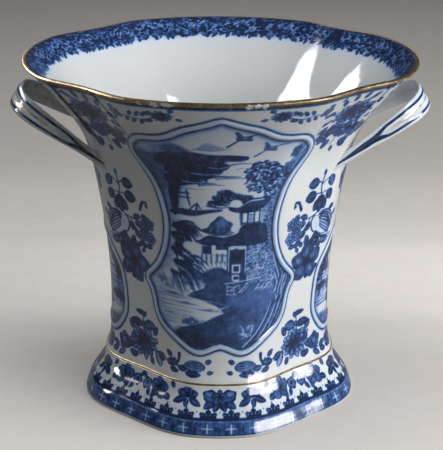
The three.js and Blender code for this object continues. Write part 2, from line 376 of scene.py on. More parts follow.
    def dabs(self, spots, rx, ry, tone, rot=0, mode="dark", jitter=None, seed=0, hatch=None):
        rnd = np.random.RandomState(seed)
        for (x, y) in spots:
            j = rnd.uniform(.75, 1.25, 2)
            t = tone * (rnd.uniform(.8, 1.1) if jitter is None else rnd.uniform(1 - jitter, 1 + jitter))
            self.ellipse(x, y, rx * j[0], ry * j[1], rot + rnd.uniform(-25, 25), min(.98, t), mode, hatch=hatch)


def scatter(inside, box, n, seed):
    rnd = np.random.RandomState(seed)
    out = []
    while len(out) < n:
        x, y = rnd.uniform(box[0], box[1]), rnd.uniform(box[2], box[3])
        if inside(x, y):
            out.append((x, y))
    return out


def clump(p, cx, cy, rx, ry, seed, n=60, tone=.85, size=.75, base=.5):
    """a pad of foliage: a soft wash under a scatter of brush dabs"""
    if base:
        p.ellipse(cx, cy, rx * .92, ry * .9, 0, base, "dark", hatch=.9, soft=2.0, wob=.12, k=6, ph=seed)
    spots = scatter(lambda x, y: ((x - cx) / rx) ** 2 + ((y - cy) / ry) ** 2 < 1, (cx - rx, cx + rx, cy - ry, cy + ry), n, seed)
    p.dabs(spots, size, size * .7, tone, seed=seed + 5)
    edge = [(cx + rx * math.cos(a) * r, cy + ry * math.sin(a) * r) for a, r in
            zip(np.linspace(0, 2 * math.pi, int(n * .6), endpoint=False), np.random.RandomState(seed + 9).uniform(.9, 1.12, int(n * .6)))]
    p.dabs(edge, size * .85, size * .6, tone, seed=seed + 7)


class Side:
    """one half of the pattern; the other half is its mirror image"""

    def __init__(self, cv, m, seed=0):
        self.cv, self.m, self.seed = cv, m, seed

    def at(self, phi, z, rot=0, size=1.0):
        return self.cv.at(self.m * phi, z, rot, size, self.m)

    def stem(self, pts, w0=.7, w1=None, tone=.88, **kw):
        phi, z = pts[len(pts) // 2]
        p = self.at(phi, z)
        q = [p.B @ np.array([self.m * a * K - p.X, b - p.Y]) for a, b in pts]
        p.stroke(q, w0, w1, tone, **kw)


def corner_spray(s):
    """the spray that fills one corner between two panels, top to bottom"""
    m = s.seed
    # under the rim, beside the top of the front panel
    s.at(17.8, 189.8).peony(5.6, 4.6, .70, seed=91 + m)
    s.at(15.0, 192.4).leaf(0, 0, 120, 4.6, 2.8, .72)
    s.at(13.8, 188.6).leaf(0, 0, 200, 4.6, 2.3, .66)
    s.at(20.8, 187.0).leaf(0, 0, -20, 5.4, 2.6, .74)
    s.stem([(20, 188.6), (25, 186.6), (31, 187.6), (37, 184)], .6)
    for ph, z, a, ln in ((22.4, 189.6, 118, 5.6), (24.2, 188.6, 122, 6.2), (26.4, 188.2, 124, 6.6), (28.8, 188.2, 122, 6.0),
                         (24.0, 186.6, -58, 5.6), (26.6, 187.0, -54, 6.0), (29.2, 187.2, -52, 5.6)):
        s.at(ph, z).leaf(0, 0, a, ln, 2.2, .74)
    s.at(32.4, 185.4).leaf(0, 0, 70, 6.8, 3.4, .42, edge=.9)
    s.at(34.6, 188.6).flower(3.0, 5, .56, turn=5)
    s.at(35.0, 184.2).leaf(0, 0, -8, 6.4, 2.9, .60)
    s.at(36.4, 191.4).leaf(0, 0, 160, 5.4, 2.6, .72)
    s.at(39.4, 192.2).leaf(0, 0, 60, 5.0, 2.4, .72)
    # in the hollow at the corner: one great flower, smaller ones and buds hanging under it
    for ph, z, a, ln in ((43.4, 188.6, 128, 8), (46.8, 190.4, 102, 7), (50.6, 190.8, 78, 7), (54.0, 189.6, 56, 7.4), (57.8, 186.6, 30, 6.4),
                         (41.6, 179.6, 204, 7.4), (42.2, 175.6, 226, 7.4), (58.4, 178.4, -20, 7), (57.0, 174.6, -52, 7.5), (40.6, 184.4, 168, 6.4)):
        s.at(ph, z).leaf(0, 0, a, ln, 3.3, .72)
    s.at(50, 182.6).peony(13.8, 9.8, .66, seed=11 + m)
    s.stem([(49.5, 175), (48.5, 171), (51, 166.5), (50, 162)], .8, .5)
    s.stem([(48.6, 171.5), (45.5, 170.5), (42, 169.4)], .6)
    s.stem([(51, 167), (55, 170), (61, 169.4)], .6)
    s.at(43.0, 169.0).flower(5.0, 6, .68, turn=8)
    s.at(60.8, 169.4).flower(4.8, 6, .68, turn=25)
    s.at(52.4, 171.0).flower(4.6, 5, .64, turn=0)
    s.at(47.4, 172.2).flower(3.6, 5, .60, turn=30)
    s.at(56.8, 172.6).leaf(0, 0, -30, 5.4, 3.0, .72)
    s.at(54.8, 164.8).bud(0, 0, -52, 8.2, 5.6, .78)
    s.at(48.2, 165.4).bud(0, 0, -128, 7.2, 4.8, .78)
    s.at(44.6, 176.2).leaf(0, 0, -78, 6.4, 3.2, .72)
    s.at(57.8, 166.2).leaf(0, 0, -70, 5.0, 2.6, .72)
    s.at(39.6, 174.4).leaf(0, 0, -110, 5.0, 2.6, .70)
    s.at(51.4, 161.2).leaf(0, 0, -80, 4.6, 2.4, .78)
    # the upright sprig
    s.stem([(54.4, 142.6), (53.6, 136), (54.8, 129.8), (54.4, 126.5)], .9, .7)
    s.stem([(54, 137.6), (51.5, 139), (49.5, 138.2)], .6)
    s.stem([(54, 137), (57.6, 140), (60, 138.6)], .6)
    s.stem([(54.4, 131.5), (51.5, 131.6), (48.5, 130.5)], .6)
    s.stem([(54.6, 131), (57.5, 132), (60, 130)], .6)
    s.at(51.8, 139.0).leaf(0, 0, 186, 9.4, 6.2, .78, edge=.95)
    s.at(58.6, 141.4).leaf(0, 0, -62, 8.4, 5.6, .66, edge=.93)
    s.at(51.4, 131.4).leaf(0, 0, 190, 9.8, 6.6, .80, edge=.95)
    s.at(58.6, 132.8).leaf(0, 0, -56, 8.0, 5.4, .74)
    s.at(54.4, 142.0).leaf(0, 0, 95, 4.2, 2.0, .85)
    b = s.at(54.8, 124.4)
    for a, w, t in ((-128, 5.6, .72), (-54, 5.6, .72), (-90, 5.8, .82)):
        b.leaf(0, 4.0, a, 8.8, w, t, edge=.94)
    b.ellipse(0, 4.0, 3.0, 2.0, 0, .93)
    s.stem([(36.6, 127.0), (37, 129.8), (39.4, 129.4), (40.6, 127), (41.6, 124.8)], 1.3, 2.4, .86)
    s.stem([(36.6, 127.0), (38.2, 128.0)], 1.5, .6, .86)
    # small branch on the panel side: open blossoms with pale hearts
    s.stem([(55, 120.6), (50, 118.2), (44, 117.4), (38, 115.6)], .7, .5)
    s.stem([(49, 118), (47.5, 112), (45, 107), (41.5, 103.8)], .7, .5)
    s.stem([(46.6, 111), (42, 110.5), (37.5, 107.4)], .6)
    for ph, z, a, ln, w in ((47.4, 118.6, 165, 7, 3.4), (46.6, 116.2, 205, 6.6, 3.2), (49.6, 115.6, 235, 6.4, 3.2),
                            (50.4, 112.6, 190, 6.4, 3.0), (47.4, 109.6, 200, 6.0, 3.2),
                            (47.6, 107.6, -60, 6.6, 3.4), (43.8, 105.0, 205, 6.4, 3.2), (46.6, 104.6, -30, 7.2, 3.6),
                            (52.4, 117, -100, 6, 3.0), (40.0, 103.6, 188, 5.4, 2.8)):
        s.at(ph, z).leaf(0, 0, a, ln, w, .76)
    for ph, z, r, n, tu in ((36.4, 116.8, 3.3, 5, 12), (41.4, 114.6, 2.9, 5, 30), (36.4, 108.4, 3.3, 5, 40), (41.6, 108.6, 2.7, 5, 0), (39.6, 119.8, 2.1, 5, 60), (38.6, 112.6, 1.9, 5, 20)):
        q = s.at(ph, z)
        q.petals(n, r * .2, r, r * 1.16, .44, .93, tu)
        q.ellipse(0, 0, r * .34, r * .34, 0, .90)
        q.ellipse(0, 0, r * .17, r * .17, 0, .06)
    # striped fruit
    f = s.at(60.6, 112)
    f.ellipse(0, 0, 9.6, 6.6, -26, .90)
    f.ellipse(-.3, -.1, 9.0, 6.0, -26, .07)
    for o, w in ((-4.6, 1.0), (-3.0, .8), (-1.3, .9), (.5, 1.2), (2.4, 1.4), (4.0, 1.2)):
        f.stroke([(-6.4 + .2 * abs(o), 3.2 + o * .35), (-2.6, 2.3 + o * .9), (2.6, -.3 + o * 1.08), (7.8 - .2 * abs(o), -3.9 + o * .72)], w * .55, w * 1.1, .84)
    f.ellipse(-8.6, 1.2, 3.6, 5.6, 18, .90)
    f.ellipse(-7.8, 1.2, 3.3, 5.1, 18, .03)
    f.ellipse(-7.2, .4, 1.6, 2.6, 18, .12, soft=1)
    f.stroke([(-5.4, 6.6), (0, 8.0), (5.8, 5.4), (9.8, -.2)], 1.4, .6, .88)
    f.stroke([(-7, -4.0), (-2, -7.4), (4, -8.8), (10.6, -8.6)], 1.4, .6, .88)
    f.stroke([(-5, -6.4), (1, -9.4), (7, -10.6), (11, -10.2)], 1.0, .4, .80)
    s.at(62.6, 120.4).leaf(0, 0, 8, 5.6, 3.0, .80)
    s.at(60.0, 119.6).leaf(0, 0, 196, 5.2, 2.8, .80)
    s.at(67.8, 114.6).leaf(0, 0, 30, 5.2, 2.6, .78)
    s.stem([(58, 105.6), (56, 103), (53, 100), (51, 96)], .8)
    s.at(55.2, 102.8).flower(3.6, 5, .80, turn=30)
    s.at(59.2, 101.8).leaf(0, 0, -8, 9.4, 4.4, .56)
    s.at(46.2, 101.4).leaf(0, 0, 140, 5.4, 2.8, .76)
    # the broad open flower, all one dark wash
    w = s.at(50.4, 91.2)
    w.petals(5, 1.0, 10.4, 10.2, .72, .95, 20 + 3 * m, .90)
    for i in range(5):
        a = math.radians(20 + 3 * m + 72 * i)
        w.ellipse(6.6 * math.cos(a), 6.0 * math.sin(a), 2.4, 1.5, math.degrees(a), .54, soft=1.6)
        b = a + math.radians(36)
        w.stroke([(2 * math.cos(b), 1.8 * math.sin(b)), (7.4 * math.cos(b), 6.8 * math.sin(b))], .8, .5, .97)
    w.ellipse(.4, -.4, 3.4, 2.8, 0, .95, wob=.12, k=6)
    s.at(57.2, 97.4).leaf(0, 0, 40, 5.2, 3.0, .78)
    s.at(43.2, 85.0).leaf(0, 0, 225, 5.6, 3.2, .78)
    s.stem([(51, 84.5), (51.6, 82.4)], .6)
    s.at(51.8, 82).ellipse(0, 0, 1.8, 1.4, 0, .93)
    # low sprig and peony
    s.stem([(47, 49), (47.5, 54), (47, 60)], .9, .6)
    s.at(44.0, 60.0).leaf(0, 0, 4, 10.4, 3.0, .84)
    s.at(46.6, 53.0).leaf(0, 0, 170, 9.8, 6.0, .62)
    s.at(47.6, 53.2).leaf(0, 0, 4, 11.0, 5.0, .78)
    s.at(47.3, 57.6).leaf(0, 0, 130, 5.2, 2.4, .84)
    p = s.at(47.2, 42.2)
    p.leaf(-8.6, 6.2, 122, 7.2, 3.8, .74)
    p.leaf(8.4, 6.0, 52, 7.0, 3.8, .74)
    p.leaf(0, 8.2, 92, 5.6, 4.0, .68)
    p.peony(11.6, 9.0, .70, seed=23 + m, lift=.12)
    p.leaf(-9.6, -3.6, 196, 6.4, 3.8, .74)
    p.leaf(9.8, -3.4, -14, 6.4, 3.8, .74)
    p.leaf(-5.4, -7.6, 225, 5.4, 3.2, .74)
    p.leaf(5.6, -7.4, -40, 5.4, 3.2, .74)
    # the running border along the bottom
    s.stem([(38, 35.6), (31, 37.6), (24, 35.4), (18, 36.4), (12, 36.0)], .7, .5)
    s.at(36.8, 38.8).leaf(0, 0, -118, 8.6, 5.0, .34, edge=.9)
    s.at(30.2, 36.2).leaf(0, 0, 28, 7.8, 4.2, .70)
    s.at(29.4, 36.2).leaf(0, 0, 172, 8.6, 4.4, .74)
    s.at(25.8, 39.8).leaf(0, 0, 40, 5.6, 3.0, .74)
    s.at(27.0, 33.2).leaf(0, 0, 190, 6.4, 2.8, .80)
    s.stem([(22.8, 36.2), (21.6, 39.4), (21.4, 42.6)], 1.2, 2.2, .86)
    s.stem([(23.4, 38), (24.4, 40)], .9, .5, .86)
    s.at(22.2, 35.0).leaf(0, 0, 192, 6.2, 3.0, .78)
    s.at(18.6, 36.6).bud(0, 0, 180, 12.6, 6.6, .56, 6)
    s.at(17.8, 32.2).leaf(0, 0, 182, 9.6, 3.6, .82)
    s.at(6.6, 33.0).leaf(0, 0, 168, 4.0, 2.2, .8)
    s.at(7.4, 38.6).leaf(0, 0, 150, 4.2, 2.6, .7)
    s.stem([(56, 38), (60, 35.4), (66, 33.8), (73, 34.6)], .7, .5)
    q = s.at(63.2, 39.0)
    q.flower(4.0, 5, .74, turn=18)
    q.ring(0, 0, 1.3, 1.3, .5, tone=.25)
    for ph, z, a, ln in ((58.8, 34.4, 196, 7.4), (61.8, 33.2, -30, 7), (67.4, 33.8, 25, 6.6), (67.6, 32.4, -12, 6.6),
                         (73, 34.8, 40, 6.2), (73.6, 33.0, -18, 6.2), (57.0, 41.4, 112, 6.0), (62.0, 34.6, 120, 5.4)):
        s.at(ph, z).leaf(0, 0, a, ln, 3.4, .76)
    s.at(79.0, 35.4).flower(4.2, 5, .74, turn=3)
    s.stem([(73, 34.4), (78, 35), (84, 33.8), (89, 34.6)], .6, .5)
    s.at(84.4, 35.6).leaf(0, 0, 160, 5.6, 2.9, .76)
    s.at(84.2, 32.8).leaf(0, 0, 200, 5.6, 2.8, .76)
    # small scatter that fills the plain places
    s.at(57.6, 87.4).leaf(0, 0, -30, 4.4, 2.4, .78)
    s.at(43.4, 98.4).leaf(0, 0, 130, 4.6, 2.4, .78)


def side_spray(s):
    """above the small side panel, under the handle: one half of a spray"""
    s.stem([(90, 112), (86, 118), (80, 121), (75, 126), (73.5, 133)], .7, .5)
    for ph, z, a in ((84.6, 119.4, 95), (82, 119.6, -60), (77.4, 123, 100), (75.2, 127.6, 20), (74.4, 130, 175), (79.4, 121.8, -70)):
        s.at(ph, z).leaf(0, 0, a, 6.2, 3.0, .72)
    s.at(73.6, 136).flower(4.6, 5, .7, turn=18)
    s.stem([(90, 128), (84.5, 133), (82.5, 139), (84.5, 145)], .7, .5)
    s.at(84, 135).leaf(0, 0, 150, 6.4, 3.2, .72)
    s.at(83.2, 139.4).leaf(0, 0, 30, 5.6, 2.8, .72)
    s.at(82.8, 142).leaf(0, 0, 165, 6.0, 3.0, .72)
    s.at(84.6, 147.6).flower(4.0, 5, .66, turn=0)
    s.stem([(74, 160), (79, 164), (84, 163), (90, 166)], .6, .5)
    for ph, z, a in ((76.5, 162.6, 120), (79.6, 163.8, -70), (83.6, 163, 80), (86.4, 164.4, -60)):
        s.at(ph, z).leaf(0, 0, a, 6.4, 3.0, .7)
    s.at(73.2, 157.4).bud(0, 0, -120, 6.4, 4.4, .72)
    s.at(70.6, 184.5).flower(5.6, 6, .66, turn=10, light=.4)
    s.stem([(66, 188), (71, 184), (78, 186.5), (84, 183.5), (90, 186)], .6, .5)
    for ph, z, a in ((75.4, 186, 110), (76.8, 186.4, -75), (81, 185.4, 80), (82.6, 184, -90), (85.6, 184, 60), (66.2, 188.6, 150),
                     (65.8, 180.5, 215), (73.8, 179.4, -40)):
        s.at(ph, z).leaf(0, 0, a, 6.2, 2.9, .7)
    s.stem([(66.5, 173), (70, 175.5), (74, 173.5)], .55)
    s.at(66.2, 172).bud(0, 0, -110, 6, 4, .72)
    s.at(74.6, 172.4).leaf(0, 0, -40, 5.6, 2.7, .72)


def side_centre(cv, phi):
    """the middle of that spray"""
    p = cv.at(phi, 120)
    p.peony(9.2, 7.6, .72, seed=41, lift=.1)
    for a in (-150, -30, -115, -65):
        p.leaf(8.6 * math.cos(math.radians(a)), 7.0 * math.sin(math.radians(a)), a, 4.8, 2.6, .76)
    cv.at(phi, 156).flower(5.4, 6, .68, turn=0, light=.4)
    cv.at(phi, 140).bud(0, -3.4, 90, 8.4, 5.4, .72)
    cv.at(phi, 131).leaf(0, 0, 100, 5.4, 2.6, .74)
    cv.at(phi, 188).flower(5.0, 5, .66, turn=18, light=.4)
    cv.at(phi, 176.5).peony(8.4, 6.2, .72, seed=57)
    cv.at(phi, 166.4).leaf(0, 0, -90, 5.6, 2.6, .74)


def inside_mask(cv, loop, cx=0.0, shrink=0.0):
    """how far each point is from a closed outline, negative inside"""
    js, is_ = slice(0, cv.h), slice(0, cv.w)
    X = cv.x0 + (np.arange(cv.w) + .5) / cv.ppm
    Y = cv.y0 + (np.arange(cv.h) + .5) / cv.ppm
    P = loop[::4] + [cx, 0]
    best = np.full((cv.h, cv.w), 1e9, np.float32)
    inside = np.zeros((cv.h, cv.w), bool)
    lo, hi = P.min(0) - 8, P.max(0) + 8
    i0, i1 = max(0, int((lo[0] - cv.x0) * cv.ppm)), min(cv.w, int((hi[0] - cv.x0) * cv.ppm) + 1)
    j0, j1 = max(0, int((lo[1] - cv.y0) * cv.ppm)), min(cv.h, int((hi[1] - cv.y0) * cv.ppm) + 1)
    x, y = X[None, i0:i1], Y[j0:j1, None]
    sub, ins = best[j0:j1, i0:i1], inside[j0:j1, i0:i1]
    for k in range(len(P)):
        a, b = P[k], P[(k + 1) % len(P)]
        ab = b - a
        c = (a[1] > y) != (b[1] > y)
        xs = a[0] + (y - a[1]) * ab[0] / (ab[1] if abs(ab[1]) > 1e-9 else 1e-9)
        ins ^= c & (x < xs)
        h = np.clip(((x - a[0]) * ab[0] + (y - a[1]) * ab[1]) / (ab @ ab), 0, 1)
        sub[:] = np.minimum(sub, (x - a[0] - ab[0] * h) ** 2 + (y - a[1] - ab[1] * h) ** 2)
    d = np.sqrt(best)
    d[inside] *= -1
    return d


def frame_lines(cv, d):
    """the two dark lines of a moulded frame with the pale band between them"""
    def line(at, half, soft=.28):
        return np.clip((half + soft - np.abs(d - at)) / soft, 0, 1)
    band = np.clip((.3 + np.minimum(d + 4.0, -d)) / .3, 0, 1)
    cv.ink[:] = cv.ink * (1 - band) + .075 * band
    cv.hat[:] = cv.hat * (1 - band)
    for at, half, t in ((0.1, .36, .9), (-3.9, .42, .92), (-2.7, .12, .3)):
        cv.ink[:] = np.maximum(cv.ink, line(at, half) * t)
    inner = np.clip(1 - np.abs(d + 4.9) / 1.6, 0, 1)
    cv.ink[:] = np.maximum(cv.ink, inner * .30)
    outer = np.clip(1 - np.abs(d - .9) / 1.1, 0, 1)
    cv.ink[:] = np.maximum(cv.ink, outer * .16)


def fronds(p, x, z, ang, length, n, w, tone, seed, droop=.35):
    """a spray of tapering leaves that all start near one twig"""
    rnd = np.random.RandomState(seed)
    for k in range(n):
        f = k / max(1, n - 1)
        a = math.radians(ang + (f - .5) * 70 + rnd.uniform(-8, 8))
        ln = length * rnd.uniform(.7, 1.1) * (1 - .45 * abs(f - .5))
        x0, z0 = x + rnd.uniform(-1, 1), z + rnd.uniform(-.8, .8)
        p.stroke([(x0, z0), (x0 + ln * .5 * math.cos(a), z0 + ln * .5 * math.sin(a) + .08 * ln),
                  (x0 + ln * math.cos(a), z0 + ln * math.sin(a) - droop * ln)], w * rnd.uniform(.8, 1.2), .25, tone * rnd.uniform(.82, 1.06), "dark")


def rows_of_leaves(p, inside, box, pitch, seed, dark=.5, light=.12, n_light=1.0, size=1.0):
    """close rows of short brush marks, the way a bank of shrubs is printed"""
    rnd = np.random.RandomState(seed)
    z = box[2]
    row = 0
    while z < box[3]:
        x = box[0] + (row % 2) * pitch * .5
        while x < box[1]:
            px, pz = x + rnd.uniform(-.3, .3) * pitch, z + rnd.uniform(-.25, .25) * pitch
            if inside(px, pz):
                r = rnd.uniform(0, 1)
                a = rnd.uniform(-35, 35)
                p.ellipse(px, pz, pitch * .46 * size, pitch * .24 * size, a, dark * rnd.uniform(.75, 1.3), "dark")
                if r < n_light * .5:
                    p.stroke([(px - pitch * .4, pz + pitch * .30), (px, pz + pitch * .46), (px + pitch * .4, pz + pitch * .26)], .42, .22, light * rnd.uniform(.7, 1.6))
            x += pitch
        z += pitch * .62
        row += 1


def landscape(cv, seed=3):
    """own view for the large panels: a lakeside pavilion among trees"""
    p = Place(cv, 0, 0, 0, 1.0, 1)
    p.A, p.B, p.X, p.Y, p.soft = np.eye(2), np.eye(2), 0.0, 0.0, 1.1 / cv.ppm
    rnd = np.random.RandomState(seed)
    g = lambda pts: [(a * K, b) for a, b in pts]
    # washed air: pale all over, heavier down the left side and in the upper right corner
    p.poly(g([(-45, 196), (45, 196), (45, 40), (-45, 40)]), .045, "dark")
    p.poly(g([(-45, 182), (-26, 176), (-16, 171), (-10, 166), (-12, 150), (-16, 128), (-19, 108), (-24, 92), (-45, 95)]), .17, "dark", soft=5)
    p.poly(g([(-45, 178), (-27, 172), (-19, 169), (-13, 165), (-15, 150), (-21, 142), (-22, 128), (-24, 112), (-26, 98), (-45, 95)]), .34, "dark", soft=5, hatch=.3)
    p.poly(g([(-45, 170), (-24, 166), (-17, 163), (-17, 150), (-23, 140), (-24, 122), (-27, 104), (-45, 100)]), .50, "dark", soft=5, hatch=.4)
    p.poly(g([(-37, 172), (-31, 173.5), (-26, 169), (-28, 164), (-35, 165)]), .16, soft=4)
    for k in range(26):
        a, z = rnd.uniform(-36, -22), rnd.uniform(100, 168)
        p.stroke(g([(a, z), (a + rnd.uniform(2, 5), z + rnd.uniform(-.6, .6))]), .8, .4, rnd.uniform(.3, .6), "dark")
    # far hills
    p.poly(g([(-9, 168.4), (-7.4, 171), (-5.6, 173.4), (-3.6, 173), (-1.6, 171.4), (1.6, 169.4), (.5, 168.2), (-4, 167.4)]), .30, "dark", soft=1.2, hatch=.6, smooth=4)
    p.poly(g([(-24, 168), (-21, 171.4), (-17, 172), (-13, 169), (-10, 166), (-18, 164)]), .48, "dark", soft=2.4, hatch=.6, smooth=4)
    p.stroke(g([(-10, 168.6), (-3, 168), (3.4, 169)]), .8, .4, .42, "dark")
    # the great tree at the left: long flat pads one over the other
    p.poly(g([(-26, 164), (-14, 167), (-6, 165.6), (3, 164.6), (9.6, 164), (10.4, 162), (8, 160.8), (0, 161), (-6, 160.4), (-15, 158), (-26, 156)]), .66, "dark", soft=1.0, hatch=.7, smooth=4)
    p.stroke(g([(-4, 163.4), (3, 163.6), (9.4, 162.8)]), 3.0, 2.6, .80, "dark")
    p.poly(g([(-24, 160), (-10, 161), (-2, 160.4), (2.6, 158.4), (.6, 155.4), (-3, 152.6), (-6, 150.6), (-10, 147.4), (-17, 144.6), (-22, 145), (-21, 152)]), .80, "dark", soft=1.4, hatch=.6, smooth=4)
    pads = [(-16, 160, 7, 3.4), (-8, 158.6, 7, 3.2), (-1, 157.6, 4.6, 2.4), (-17, 154.6, 7, 3.2), (-9, 153.4, 7.4, 3.4), (-3.4, 154.6, 4.4, 2.2), (-18, 149, 6.4, 3.0), (-11, 149, 6, 2.6)]
    for k, (a, z, rx, ry) in enumerate(pads):
        clump(p, a * K, z, rx, ry, 100 + k, int(6.0 * rx), .93, .85, .78)
        p.dabs(scatter(lambda x, y: ((x - a * K) / rx) ** 2 + ((y - z) / ry) ** 2 < .8, (a * K - rx, a * K + rx, z - ry, z + ry), int(1.2 * rx), 150 + k), .45, .25, .62, mode="over", seed=160 + k)
    p.poly(g([(-22.5, 152), (-17, 151), (-16.6, 145), (-18, 138), (-18.6, 131), (-22, 131), (-23, 141)]), .82, "dark", soft=2.2, hatch=.8)
    p.stroke(g([(-20.4, 128), (-20, 138), (-18.6, 148), (-14, 155)]), 2.2, 1.2, .95)
    # streaks of cloud between the trees
    for z, a, b, w, t in ((160.4, -2, 9, 1.0, .60), (158.6, 3.6, 12.6, .9, .52), (155.6, 6, 11.6, .6, .30), (150.6, -6, 8, 1.5, .66), (149.6, -2, 10, .7, .5), (146.6, -17, -2, 1.5, .62),
                          (145.6, -9, 1.6, 1.0, .5), (142.8, -19, -7, .8, .4), (140.0, -20, -13, 1.6, .70), (137.4, -22, -12.6, 1.4, .72)):
        p.stroke(g([(a, z), (a * .6 + b * .4, z + .7), (b, z + .5)]), w * 1.2, .35, t, "dark")
    for z, a, b in ((153.0, -12, 1), (147.8, -16, -5), (157.0, -5, 3)):
        p.stroke(g([(a, z), ((a + b) / 2, z - .5), (b, z + .4)]), .8, .4, .22)
    p.stroke(g([(-14.6, 142), (-14, 137), (-13.4, 133)]), 1.2, .7, .72, "dark")
    # two birds
    for (a, z, sc, t, rot) in ((7.2, 176.2, 1.12, .60, 14), (17.6, 168.6, 1.05, .52, 10)):
        b = Place(cv, 0, 0, 0, 1.0, 1)
        c, s = math.cos(math.radians(rot)), math.sin(math.radians(rot))
        b.A = np.array([[c, -s], [s, c]]) * sc
        b.B, b.X, b.Y, b.soft = np.linalg.inv(b.A), a * K, z, 1.1 / cv.ppm
        b.stroke([(-6.6, -3.6), (-3.4, -1.8), (-.6, -.2), (3.2, .7), (8.8, .6)], 1.0, .5, t)
        b.poly([(-1.6, -1.0), (.6, -.8), (.2, 1.6), (-1.0, 4.4), (-2.2, 4.8), (-1.9, 2.2), (-2.6, .6)], t)
        b.poly([(1.4, -.4), (3.4, -1.2), (3.0, -2.6), (.6, -1.8), (-.6, -1.2)], t)
        b.ellipse(.4, -.2, 3.0, 1.15, 6, t)
        b.ellipse(.8, .1, 1.2, .35, 6, t * .5)
    # the leafy tree behind the pavilion: overlapping leaves with light edges
    def in_tree(x, y):
        a = x / K
        return (((a - 17) / 7.5) ** 2 + ((y - 154) / 6.4) ** 2 < 1 or ((a - 15.4) / 5.6) ** 2 + ((y - 147) / 6) ** 2 < 1 or ((a - 23) / 6) ** 2 + ((y - 150) / 6) ** 2 < 1
                or (18 < a < 32 and 138 < y < 146 + (a - 18) * .3))
    rows_of_leaves(p, in_tree, (9 * K, 33 * K, 137, 161), 2.1, 301, dark=.62, light=.10, n_light=.9, size=1.18)
    p.dabs(scatter(in_tree, (9 * K, 33 * K, 138, 161), 90, 305), 1.0, .55, .74, seed=306)
    p.stroke(g([(18.6, 132), (19.4, 139), (17.6, 147)]), 1.2, .7, .8, "dark")
    # foliage at the far right, from the top corner down
    p.poly(g([(28, 167), (30.4, 168.6), (34, 165), (40, 160), (44, 150), (30, 140), (26, 146), (28.4, 152), (28, 158), (29.6, 161)]), .42, "dark", hatch=.6, soft=1.4)
    p.ellipse(30 * K, 164.4, 3.0, 4.2, -20, .58, "dark", wob=.1, k=5, soft=.8)
    p.ellipse(29 * K, 155, 4.0, 3.4, -20, .50, "dark", wob=.1, k=5, soft=.8)
    for k in range(26):
        a = 30.5 + (k % 9) * 1.05
        z = 150 + rnd.uniform(0, 22)
        p.stroke(g([(a, z - 5), (a + 1.4, z), (a + 3.2, z + 5)]), .6, .3, rnd.choice([.14, .5, .62, .2]))
    # the bank of shrubs at the right
    p.poly(g([(19, 137), (24, 140), (31, 142), (44, 118), (44, 92), (30, 84), (12.6, 85), (12.6, 108.5), (21.6, 111), (20, 120), (18.6, 124), (18.4, 130), (20.8, 134)]), .40, "dark", hatch=.5, soft=1.4)
    def in_bank(x, y):
        a = x / K
        if y > 123:
            return 19 < a < 32 - (y - 123) * .1
        if y > 110:
            return a > 21 - (123 - y) * .05 and a < 31
        return 13 < a < 31 + max(0, 104 - y) * .25 and y > 84.6
    rows_of_leaves(p, in_bank, (12 * K, 40 * K, 84, 141), 2.0, 401, dark=.46, light=.10, n_light=1.15)
    p.dabs(scatter(in_bank, (12 * K, 40 * K, 84, 141), 170, 402), .8, .45, .62, seed=403)
    p.dabs(scatter(in_bank, (12 * K, 40 * K, 84, 141), 150, 404), .55, .34, .08, mode="over", seed=405)
    # small pine beside the roof
    for k, (a, z, rx, ry) in enumerate([(2.0, 141.4, 3.6, 1.6), (5.6, 139.2, 4.6, 1.9), (.2, 138.4, 4.2, 1.8), (-2.4, 135.2, 3.6, 1.6), (2.6, 135.6, 4.0, 1.7), (7.6, 136.6, 3.4, 1.5), (10.4, 138.2, 3.6, 1.2)]):
        clump(p, a * K, z, rx, ry, 500 + k, 20, .80, .75, .56)
    p.poly(g([(4.6, 136.6), (7.6, 137.2), (9.4, 134.6), (8.4, 132.4), (5.4, 131.9), (3.8, 133.2)]), .05, smooth=4)
    p.stroke(g([(-6, 133.6), (-1, 132.4), (4, 133)]), 1.0, .5, .62, "dark")
    # strip of land and a moored boat at the left
    p.poly(g([(-23, 130), (-18, 131.4), (-12, 130.6), (-6, 131.2), (1, 131.6), (.5, 130.4), (-6, 129), (-12, 127), (-18, 127.4), (-23, 128)]), .74, "dark", soft=.8, hatch=.6, smooth=4)
    p.stroke(g([(-13.6, 131), (-10.4, 134.4), (-8.8, 131.4)]), .8, .5, .74, "dark")
    p.stroke(g([(-10.6, 131), (-10.2, 135)]), 1.2, .6, .7, "dark")
    p.stroke(g([(-14, 128), (-6, 129.4), (-1, 130.8)]), .9, .5, .5, "dark")
    p.poly(g([(-24, 125), (-19, 124.4), (-13, 122.6), (-9, 120.8), (-14, 120.6), (-20, 121.6), (-24, 122)]), .30, "dark", soft=.9)
